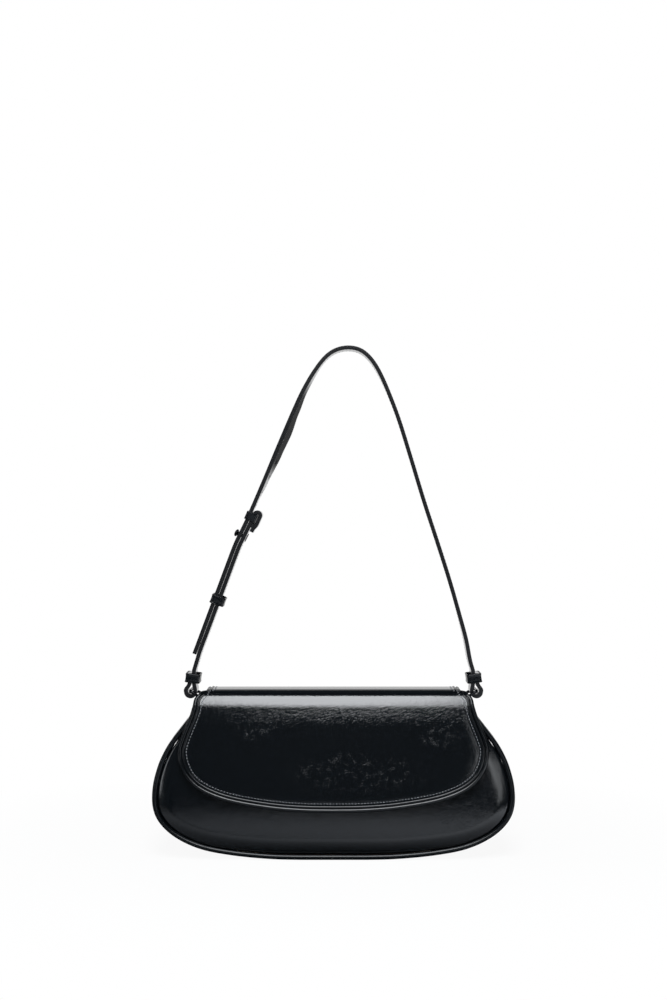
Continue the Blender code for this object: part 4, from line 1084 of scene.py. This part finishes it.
mouth_height = BODY_HEIGHT - MOUTH_SEAM
mouth_row = [((x, -panel_depth(x, mouth_height), mouth_height), (0.0, -1, 0.15))
             for x in np.linspace(-MOUTH_SEAM_END, MOUTH_SEAM_END, 90)]
mouth_stitches = sew("mouth_stitches", [mouth_row])
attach(mouth_stitches, "bag")

# %% [markdown]
# ## The strap's line
# Seen from the front the strap is a line: up the right leg, over a small round top and
# down the left leg to a free tip. A short strap comes up from the left ring beside it,
# and its upper end is folded over a fixed loop. Both ends turn round a ring's bar.

# %% Strap lines
STRAP_WIDTH, STRAP_THICKNESS = 0.018, 0.0031
HALF_SPAN, TURN_HEIGHT, STRAP_RISE = 0.1120235, 0.1265, 0.270
WIRE_RADIUS, TURN_RADIUS = 0.0012, 0.00355
BAR_HEIGHT = TURN_HEIGHT + 0.0007
PITCH = STRAP_THICKNESS + GAP
KEEPER_MIDDLE, KEEPER_HEIGHT, TURNED_TOP = TURN_HEIGHT + 0.0104, 0.0075, 0.0145
RIGHT_TABLE = (
    (0.976, 0.0619), (0.955, 0.0907), (0.930, 0.148), (0.892, 0.207), (0.8116, 0.323), (0.7223, 0.4393),
    (0.6313, 0.555), (0.5464, 0.671), (0.459, 0.7874), (0.380, 0.8744), (0.3189, 0.9303), (0.2678, 0.9640),
    (0.2084, 0.9882), (0.1560, 0.9975), (0.1035, 1.0), (0.0508, 0.9975), (-0.0070, 0.9882),
    (-0.0552, 0.9724), (-0.1056, 0.9473), (-0.175, 0.903), (-0.247, 0.845), (-0.369, 0.729),
    (-0.485, 0.6133), (-0.606, 0.497), (-0.675, 0.439),
)
LOWER_LEFT_TABLE = ((-0.933, 0.120), (-0.955, 0.0907), (-0.976, 0.0619))
TWIST_TABLE = (
    (0.0, 0.0), (0.10, 0.0), (0.18, -0.27), (0.42, -0.27), (0.51, 0.0), (0.575, 0.0), (0.62, 0.30),
    (0.655, 0.65), (0.685, 1.0), (0.715, 0.80), (0.755, 0.33), (0.785, 0.0), (1.0, 0.0),
)
LOOP_SHARE, SLIDER_SHARE, STUD_DROP = 0.5105, 0.2685, 0.0165
FOLD_RADIUS, FOLD_RISE, FOLD_TAIL, LOOP_HEIGHT = 0.0024, 0.0030, 0.0138, 0.0068


def strap_point(x_share, z_share):
    return Vector((x_share * HALF_SPAN, TURN_HEIGHT + z_share * STRAP_RISE))


def turned_end(side):
    """A strap's end: down inside, round the ring's bar and up again outside."""
    middle = Vector((side * HALF_SPAN, TURN_HEIGHT))
    first = arc_points(middle, TURN_RADIUS, -math.pi if side > 0 else 0.0, 0.0 if side > 0 else -math.pi, 16)
    inner_x = side * RIGHT_TABLE[0][0] * HALF_SPAN
    outer_x = inner_x + side * PITCH
    low = KEEPER_MIDDLE - KEEPER_HEIGHT / 2
    inner = smooth_line([Vector((inner_x, TURN_HEIGHT + TURNED_TOP)), Vector((inner_x, low)),
                         Vector((first[0].x, BAR_HEIGHT + WIRE_RADIUS)), first[0]], 6)
    outer = smooth_line([first[-1], Vector((first[-1].x, BAR_HEIGHT + WIRE_RADIUS)), Vector((outer_x, low)),
                         Vector((outer_x, TURN_HEIGHT + TURNED_TOP))], 6)
    return inner[:-1] + first + outer[1:]


def at_height(line, share):
    """Where the falling part of the strap passes a share of its rise."""
    height = TURN_HEIGHT + share * STRAP_RISE
    index = max(i for i, p in enumerate(line) if p.y >= height and p.x < HALF_SPAN / 2)
    a, b = line[index], line[index + 1]
    return index, a + (b - a) * ((a.y - height) / (a.y - b.y))


straight_top, tip = strap_point(-0.711, 0.402), strap_point(-0.974, 0.110)
over = [strap_point(*shares) for shares in RIGHT_TABLE]
leg = even_points(smooth_line(over + [straight_top.lerp(tip, i / 6) for i in range(7)], 6), 240)
for _ in range(3):
    leg = [leg[0]] + [(a + 2 * b + c) / 4 for a, b, c in zip(leg, leg[1:], leg[2:])] + [leg[-1]]
LONG_LINE = list(reversed(turned_end(1))) + leg
LONG_MARKS = running_lengths(LONG_LINE)
loop_index, LOOP_MIDDLE = at_height(LONG_LINE, LOOP_SHARE)
LOOP_DOWN = (LONG_LINE[loop_index + 1] - LONG_LINE[loop_index]).normalized()
LOOP_IN = Vector((-LOOP_DOWN.y, LOOP_DOWN.x))
LOOP_MARK = LONG_MARKS[loop_index] + (LOOP_MIDDLE - LONG_LINE[loop_index]).length


def short_line():
    """From the end folded over the loop, down beside the long strap to the left ring."""
    fold = LOOP_MIDDLE - LOOP_DOWN * FOLD_RISE + LOOP_IN * (PITCH + FOLD_RADIUS)
    angle = math.atan2(LOOP_IN.y, LOOP_IN.x)
    bend = arc_points(fold, FOLD_RADIUS, angle, angle + math.pi, 14)
    closing = LOOP_IN * (2 * FOLD_RADIUS - PITCH)
    open_end = FOLD_RISE + LOOP_HEIGHT / 2 + GAP
    tail = []
    for i in range(15):
        along = FOLD_TAIL * (1 - i / 14)
        shut = clamp((along - open_end) / (FOLD_TAIL - open_end) * 1.25)
        tail.append(bend[0] + LOOP_DOWN * along - closing * shut**2 * (3 - 2 * shut))
    top, bottom = at_height(LONG_LINE, 0.497)[0], at_height(LONG_LINE, 0.150)[0]
    beside = drawn_in(LONG_LINE, PITCH)[top + 1 : bottom + 1]
    lower = [strap_point(*shares) for shares in LOWER_LEFT_TABLE]
    return tail[:-1] + bend + smooth_line(beside[::4] + lower, 4) + turned_end(-1)


SHORT_LINE = short_line()
print("strap lengths, mm:", round(LONG_MARKS[-1] * 1000), round(running_lengths(SHORT_LINE)[-1] * 1000))

# %% [markdown]
# ## Strap leather
# A strap is two layers glued and sewn, with painted edges. The long one twists a little on
# its way down the left, so that its inner face shows. Each strap is a grid laid along its
# line; Solidify gives the layers, and a wide bevel the rounded painted edge.

# %% Straps
def strap_twist(share):
    """The twist in radians at a share of the long strap's length."""
    row = max(i for i, (at, _) in enumerate(TWIST_TABLE[:-1]) if at <= share)
    (low, before), (high, after) = TWIST_TABLE[row : row + 2]
    t = (share - low) / (high - low)
    return math.radians(12.0) * (before + (after - before) * t**2 * (3 - 2 * t))


def strap_places(line, twisted):
    """For each point of a line: where it is, its normal and the strap's twist there."""
    marks = running_lengths(line)
    turns = [strap_twist(m / marks[-1]) if twisted else 0.0 for m in marks]
    return list(zip(line, side_normals(line), turns))


def strap_at(place, across, lift=0.0):
    """A point of a strap, across from its middle and lift above its middle layer."""
    p, n, turn = place
    shift = n * (math.sin(turn) * (across + STRAP_WIDTH / 2)) + n * lift * math.cos(turn)
    return p.x + shift.x, across * math.cos(turn) - lift * math.sin(turn), p.y + shift.y


def strap_leather_piece(name, line, body, replaced, twisted=False):
    places = strap_places(line, twisted)
    steps = len(line) - 1

    def form(u, v):
        return strap_at(places[round((u + 1) / 2 * steps)], (v - 0.5) * STRAP_WIDTH)

    strap = laid_grid(name, steps, 6, form)
    apply_modifier(strap, "SOLIDIFY", thickness=STRAP_THICKNESS, offset=0.0, use_even_offset=True)
    soften(strap, 0.0008, 4, 60.0)
    smooth_faces(strap, 60.0)
    dress(strap, body, "patent_leather", strap_leather, edge_paint)
    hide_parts(replaced)
    return strap


def paint_edges(strap):
    """The painted edge: every face that looks across the strap."""
    for face in strap.data.polygons:
        face.material_index = 1 if abs(face.normal.y) > 0.55 else 0
    print(strap.name, "painted faces:", sum(f.material_index for f in strap.data.polygons))


def punch(strap, radius, stands):
    """Cuts round holes through a strap."""
    for stand in stands:
        bpy.ops.object.select_all(action="DESELECT")
        bpy.ops.mesh.primitive_cylinder_add(vertices=32, radius=radius, depth=0.012)
        punch_tool = bpy.context.object
        punch_tool.matrix_world = stand
        bpy.context.view_layer.update()
        apply_modifier(strap, "BOOLEAN", object=punch_tool, operation="DIFFERENCE", solver="EXACT")
        bpy.data.objects.remove(punch_tool)
    smooth_faces(strap)


def frame_at(point, x_axis, z_axis):
    """A frame at a point of the strap's line, from two of its axes."""
    x, z = Vector((x_axis[0], 0.0, x_axis[1])), Vector((z_axis[0], 0.0, z_axis[1]))
    return Matrix.Translation((point.x, 0.0, point.y)) @ Matrix((x, z.cross(x), z)).transposed().to_4x4()


def across_strap(point, down):
    """A frame whose Z axis points out of the strap's outer face."""
    return frame_at(point, (down.x, down.y), (down.y, -down.x))


def along_strap(point, down):
    """A frame whose Z axis points up the strap and whose X axis points inwards."""
    return frame_at(point, (-down.y, down.x), (-down.x, -down.y))


def hole_stand(mark):
    """A frame on the long strap, this far along it."""
    index = int(np.clip(np.searchsorted(LONG_MARKS, mark) - 1, 0, len(LONG_LINE) - 2))
    down = (LONG_LINE[index + 1] - LONG_LINE[index]).normalized()
    p = point_along(LONG_LINE, LONG_MARKS, mark)
    n = Vector((-down.y, down.x))
    turn = strap_twist(mark / LONG_MARKS[-1])
    p = p + n * (math.sin(turn) * STRAP_WIDTH / 2)
    return across_strap(p, down) @ Matrix.Rotation(-turn, 4, "X"), p, down


def fold_core():
    """The loop's own ends, sewn in between the two layers of the folded end."""
    start, end = FOLD_RISE + LOOP_HEIGHT / 2 + GAP, 0.0108
    top = LOOP_MIDDLE - LOOP_DOWN * FOLD_RISE + LOOP_IN * (PITCH + FOLD_RADIUS)

    def form(u, v):
        p = top + LOOP_DOWN * (start + (end - start) * (u + 1) / 2) - LOOP_IN * 0.00025 * (u + 1)
        return p.x, (v - 0.5) * (STRAP_WIDTH - 0.0016), p.y

    core = laid_grid("fold_core_leather", 6, 4, form)
    cut_leather(core, 2 * FOLD_RADIUS - STRAP_THICKNESS - 0.0003, middle=0.0, edge=0.0003)
    return dress(core, "strap", "patent_leather", lining_leather)


HOLE_RADIUS, HOLE_PITCH = 0.0019, 0.0127
fold_core()
long_strap = strap_leather_piece("long_strap_leather", LONG_LINE, "strap", "strap_long", twisted=True)
short_strap = strap_leather_piece("short_strap_leather", SHORT_LINE, "strap", "strap_short")
STUD_MARK = LOOP_MARK + STUD_DROP
punch(long_strap, HOLE_RADIUS, [hole_stand(STUD_MARK - i * HOLE_PITCH)[0] for i in range(-1, 6)])
_, stud_point, stud_down = hole_stand(STUD_MARK)
inner_point = stud_point + Vector((-stud_down.y, stud_down.x)) * PITCH
punch(short_strap, HOLE_RADIUS, [across_strap(inner_point, stud_down)])
paint_edges(long_strap)
paint_edges(short_strap)

# %% [markdown]
# ## Strap seams
# A row of stitches runs along both edges of a strap, 2.4 mm in. Only the faces that can be
# seen get theirs: where the two straps lie on each other, nothing shows between them.

# %% Strap stitches
def strap_rows(line, twisted, face, start, end):
    """Two rows of places on one face of a strap between two of its running lengths."""
    kept = [p for p, m in zip(strap_places(line, twisted), running_lengths(line)) if start <= m <= end]
    row_at = STRAP_WIDTH / 2 - STRAP_SEAM_INSET
    normals = [(face * n.x, 0.0, face * n.y) for _, n, _ in kept]
    return [[(strap_at(p, across, face * STRAP_THICKNESS / 2), n) for p, n in zip(kept, normals)]
            for across in (-row_at, row_at)]


TURN_COVERED, STRAP_SEAM_INSET = 0.030, 0.0024
long_rows = strap_rows(LONG_LINE, True, -1, TURN_COVERED, LONG_MARKS[-1] - 0.003)
long_rows += strap_rows(LONG_LINE, True, 1, TURN_COVERED, LOOP_MARK - 0.006)
short_end = running_lengths(SHORT_LINE)[-1] - TURN_COVERED
short_rows = strap_rows(SHORT_LINE, False, 1, FOLD_TAIL + math.pi * FOLD_RADIUS + 0.006, short_end)
long_stitches = sew("long_strap_stitches", long_rows, pitch=0.0028, size=0.4)
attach(long_stitches, "strap")
short_stitches = sew("short_strap_stitches", short_rows, pitch=0.0028, size=0.4)
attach(short_stitches, "strap")

# %% [markdown]
# ## Keepers and the fixed loop
# A keeper is a narrow strip of leather closed to a ring round the straps. It starts as a
# cube at its size. Its upright edges are bevelled round, its ends are taken out, and its
# rims are drawn wider, because the glued strip springs open there. Solidify gives the
# wall and Bevel the painted rims.

# %% Keepers
def leather_band(name, stand, low, high, height, wall, body, replaced, flare=0.0005):
    """A closed band round the straps, from low to high along its stand's X axis."""
    bpy.ops.object.select_all(action="DESELECT")
    bpy.ops.mesh.primitive_cube_add(size=1.0, location=((low + high) / 2, 0.0, 0.0))
    band = bpy.context.object
    band.name = band.data.name = name
    band.scale = (high - low + 2 * GAP, STRAP_WIDTH + 2 * GAP, height)
    bpy.ops.object.transform_apply(location=True, rotation=True, scale=True)
    select_where(band, "EDGE", lambda edge: np.ptp([p.z for p in edge_ends(band, edge)]) > height / 2)
    bpy.ops.mesh.bevel(offset=0.0008, segments=4, affect="EDGES")
    select_where(band, "FACE", lambda face: abs(face.normal.z) > 0.9)
    bpy.ops.mesh.delete(type="FACE")
    for share in (-0.34, 0.0, 0.34):
        bpy.ops.mesh.select_all(action="SELECT")
        bpy.ops.mesh.bisect(plane_co=(0.0, 0.0, share * height), plane_no=(0.0, 0.0, 1.0))
    select_where(band, "VERT", lambda vert: abs(vert.co.z) > 0.45 * height)
    bpy.ops.transform.resize(value=(1 + 2 * flare / (high - low), 1 + 2 * flare / STRAP_WIDTH, 1.0))
    bpy.ops.object.mode_set(mode="OBJECT")
    apply_modifier(band, "SOLIDIFY", thickness=wall, offset=1.0, use_even_offset=True)
    soften(band, 0.0004, 3, 50.0)
    apply_modifier(band, "SUBSURF", levels=1, render_levels=1)
    band.data.transform(stand)
    smooth_faces(band, 60.0)
    dress(band, body, "patent_leather", keeper_leather)
    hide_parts(replaced)


HALF_STRAP, KEEPER_WALL, KEEPER_EASE = STRAP_THICKNESS / 2, 0.0012, 0.0016
leather_band("fixed_loop_leather", along_strap(LOOP_MIDDLE, LOOP_DOWN),
             -HALF_STRAP, PITCH + FOLD_RADIUS - 0.0005 - GAP,
             LOOP_HEIGHT, 0.0010, "strap", "strap_loop", flare=0.0001)
slider_index, slider_place = at_height(LONG_LINE, SLIDER_SHARE)
slider_down = (LONG_LINE[slider_index + 1] - LONG_LINE[slider_index]).normalized()
leather_band("sliding_keeper_leather", along_strap(slider_place, slider_down),
             -HALF_STRAP, HALF_STRAP + PITCH + KEEPER_EASE,
             KEEPER_HEIGHT, KEEPER_WALL, "sliding_keeper", "sliding_keeper")
for name, side in SIDES:
    stand = along_strap(Vector((side * RIGHT_TABLE[0][0] * HALF_SPAN, KEEPER_MIDDLE)), Vector((0.0, -1.0)))
    stand = stand @ Matrix.Rotation(-side * math.radians(7.0), 4, "Y")
    straps, ease = HALF_STRAP + PITCH + GAP, HALF_STRAP + KEEPER_EASE
    span = (-straps, ease) if side < 0 else (-ease, straps)
    keeper = f"end_keeper_{name}"
    leather_band(f"{keeper}_leather", stand, *span, KEEPER_HEIGHT, KEEPER_WALL, keeper, keeper)
print("keeper height, mm:", KEEPER_HEIGHT * 1000)

# %% [markdown]
# ## Rings
# Each ring is a rounded rectangle of wire, welded and plated. Its outer bar lies in the
# strap's turn and its inner bar in the tab, and it slopes down inwards between them.

# %% Rings
SLOPE, BAR_PITCH, RING_HALF_DEPTH, RING_CORNER = math.radians(31.0), 0.0102, 0.0101, 0.0020
BAR = Vector((HALF_SPAN - BAR_PITCH * math.cos(SLOPE), BAR_HEIGHT - BAR_PITCH * math.sin(SLOPE)))


def rounded_loop(low, high, half_depth, corner, steps):
    """A closed line round a rectangle with round corners."""
    found = []
    for x, y, start in ((high, half_depth, 0.0), (low, half_depth, 90.0),
                        (low, -half_depth, 180.0), (high, -half_depth, 270.0)):
        centre = Vector((x - math.copysign(corner, x - (low + high) / 2), y - math.copysign(corner, y)))
        found += arc_points(centre, corner, math.radians(start), math.radians(start + 90.0), steps)
    return found


for name, side in SIDES:
    loop = rounded_loop(0.0, BAR_PITCH, RING_HALF_DEPTH + WIRE_RADIUS, RING_CORNER, 8)
    places = [(side * (HALF_SPAN - p.x * math.cos(SLOPE)), p.y, BAR_HEIGHT - p.x * math.sin(SLOPE))
              for p in loop]
    ring = rolled(f"ring_{name}_wire", places, WIRE_RADIUS, closed=True)
    dress(ring, "strap", "black_metal", black_nickel)
    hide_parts(f"ring_{name}")

# %% [markdown]
# ## Tabs
# A strip of leather goes round each ring's inner bar, and both its ends are sewn down
# inside the gusset. It is the piece that gives when the strap swings. It is narrow enough
# to pass the flap's edge as it turns.

# %% Tabs
TAB_LEATHER, TAB_WIDTH, TAB_NECK, TAB_SEWN = 0.0013, 0.0090, 0.005, 0.009


def tab_line():
    """The tab's middle line, from the bar down to where it is sewn inside the gusset."""
    inside = side_line(PANEL_THICKNESS + GAP + TAB_LEATHER, GUSSET_TOP)
    marks = running_lengths(inside)
    low = [point_along(inside, marks, marks[-1] - TAB_SEWN * i / 3) for i in range(4)]
    return smooth_line([BAR, Vector((BAR.x, BAR.y - TAB_NECK))] + low, 6)


def tab_leather_piece(name, side):
    line = tab_line()
    normals = side_normals(line)
    hole, outer = WIRE_RADIUS + GAP, WIRE_RADIUS + GAP + TAB_LEATHER
    middle = (hole + outer) / 2
    body = [(p, n * TAB_LEATHER / 2) for p, n in zip(line, normals) if (p - BAR).length > outer * 1.15]
    left, right = [p + n for p, n in body], [p - n for p, n in body]
    start = (right[0] - BAR).angle_signed(Vector((1.0, 0.0)))
    end = (left[0] - BAR).angle_signed(Vector((1.0, 0.0)))
    around = arc_points(BAR, middle, end, end + (start - end) % math.tau, 20)[1:-1]
    path = smooth_line(even_points(list(reversed(left)) + around + right, 50), 2)

    def form(u, v):
        p = path[round((u + 1) / 2 * (len(path) - 1))]
        return side * p.x, (v - 0.5) * TAB_WIDTH, p.y

    tab = laid_grid(name, len(path) - 1, 6, form)
    cut_leather(tab, 0.00125, middle=0.0, edge=0.0003)
    face_outwards()
    return dress(tab, None, "patent_leather", strap_leather)


for name, side in SIDES:
    tab = tab_leather_piece(f"tab_{name}_leather", side)
    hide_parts(f"tab_{name}")
    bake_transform(tab)
print("ring bar, mm:", [round(v * 1000, 1) for v in BAR])

# %% [markdown]
# ## Turned metal
# The button stud, its screwed base and both halves of the snap are turned pieces. Each
# starts as half a profile, which Spin carries round the axis. The snap sits square on the
# panel, so its axis leans with the leather.

# %% Stud and snap
def spun(name, profile, stand, body, replaced):
    """A turned piece from a profile of (radius, height) points."""
    edges = [(i, i + 1) for i in range(len(profile) - 1)]
    piece = mesh_piece(name, [(r, 0.0, h) for r, h in profile], edges, [])
    bpy.ops.object.mode_set(mode="EDIT")
    bpy.ops.mesh.select_all(action="SELECT")
    bpy.ops.mesh.spin(steps=40, angle=math.tau, center=(0.0, 0.0, 0.0), axis=(0.0, 0.0, 1.0))
    face_outwards(merge=0.00002)
    soften(piece, 0.00012, 2, 50.0)
    piece.data.transform(stand)
    smooth_faces(piece)
    dress(piece, body, "black_metal", black_nickel)
    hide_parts(replaced)


face = HALF_STRAP + GAP
inner_face = -(face + PITCH)
base_face = inner_face - 0.0007
turns = [math.radians(d) for d in range(0, 149, 12)]
dome = [(0.0030 * math.sin(turn), face + 0.00155 * (1 + math.cos(turn))) for turn in turns]
stud_frame = across_strap(stud_point, stud_down)
spun("button_stud_head", dome + [(0.0015, face), (0.0015, inner_face + GAP), (0.0, inner_face + GAP)],
     stud_frame, "strap", "button_stud")
spun("stud_screw_base", [(0.0, inner_face), (0.0033, inner_face), (0.0036, inner_face - 0.00035),
                         (0.0033, base_face), (0.0, base_face)], stud_frame, "strap", "stud_base")


def middle_depth(z):
    return seam_depth(z) + belly(0.0, z)


lean = math.atan((middle_depth(SNAP_HEIGHT - GAP) - middle_depth(SNAP_HEIGHT + GAP)) / (2 * GAP))
snap_out = Vector((0.0, -math.cos(lean), math.sin(lean)))
snap_middle = Vector((0.0, -middle_depth(SNAP_HEIGHT), SNAP_HEIGHT))


def snap_stand(distance):
    """A frame square to the panel, this far out from it."""
    return Matrix.Translation(snap_middle + snap_out * distance) @ Matrix.Rotation(math.pi / 2 - lean, 4, "X")


SNAP_REACH, WASHER_THICKNESS = 0.0008, 0.0007
spun("snap_socket_cap",
     [(0.0, SNAP_REACH), (0.0042, SNAP_REACH), (0.0042, SNAP_CAP), (0.0052, SNAP_CAP),
      (0.0054, 0.0016), (0.0060, 0.0016), (0.0062, SNAP_CAP), (0.0071, SNAP_CAP),
      (0.0080, 0.0009), (0.0080, 0.0), (0.0, 0.0)],
     snap_stand(GAP), "bag", "snap_socket")
spun("snap_stud_plate", [(0.0, 0.0017), (0.0070, 0.0017), (0.0070, 0.0010), (0.0066, SNAP_REACH),
                         (0.0037, SNAP_REACH), (0.0037, 0.0002), (0.0035, 0.0), (0.0, 0.0)],
     snap_stand(GAP + SNAP_CAP + GAP - SNAP_REACH), "flap_front", "snap_stud")
spun("snap_back_washer",
     [(0.0020, WASHER_THICKNESS), (0.0060, WASHER_THICKNESS), (0.0060, 0.0), (0.0020, 0.0),
      (0.0020, WASHER_THICKNESS)],
     snap_stand(-(PANEL_THICKNESS + GAP + WASHER_THICKNESS)), "bag", "snap_washer")
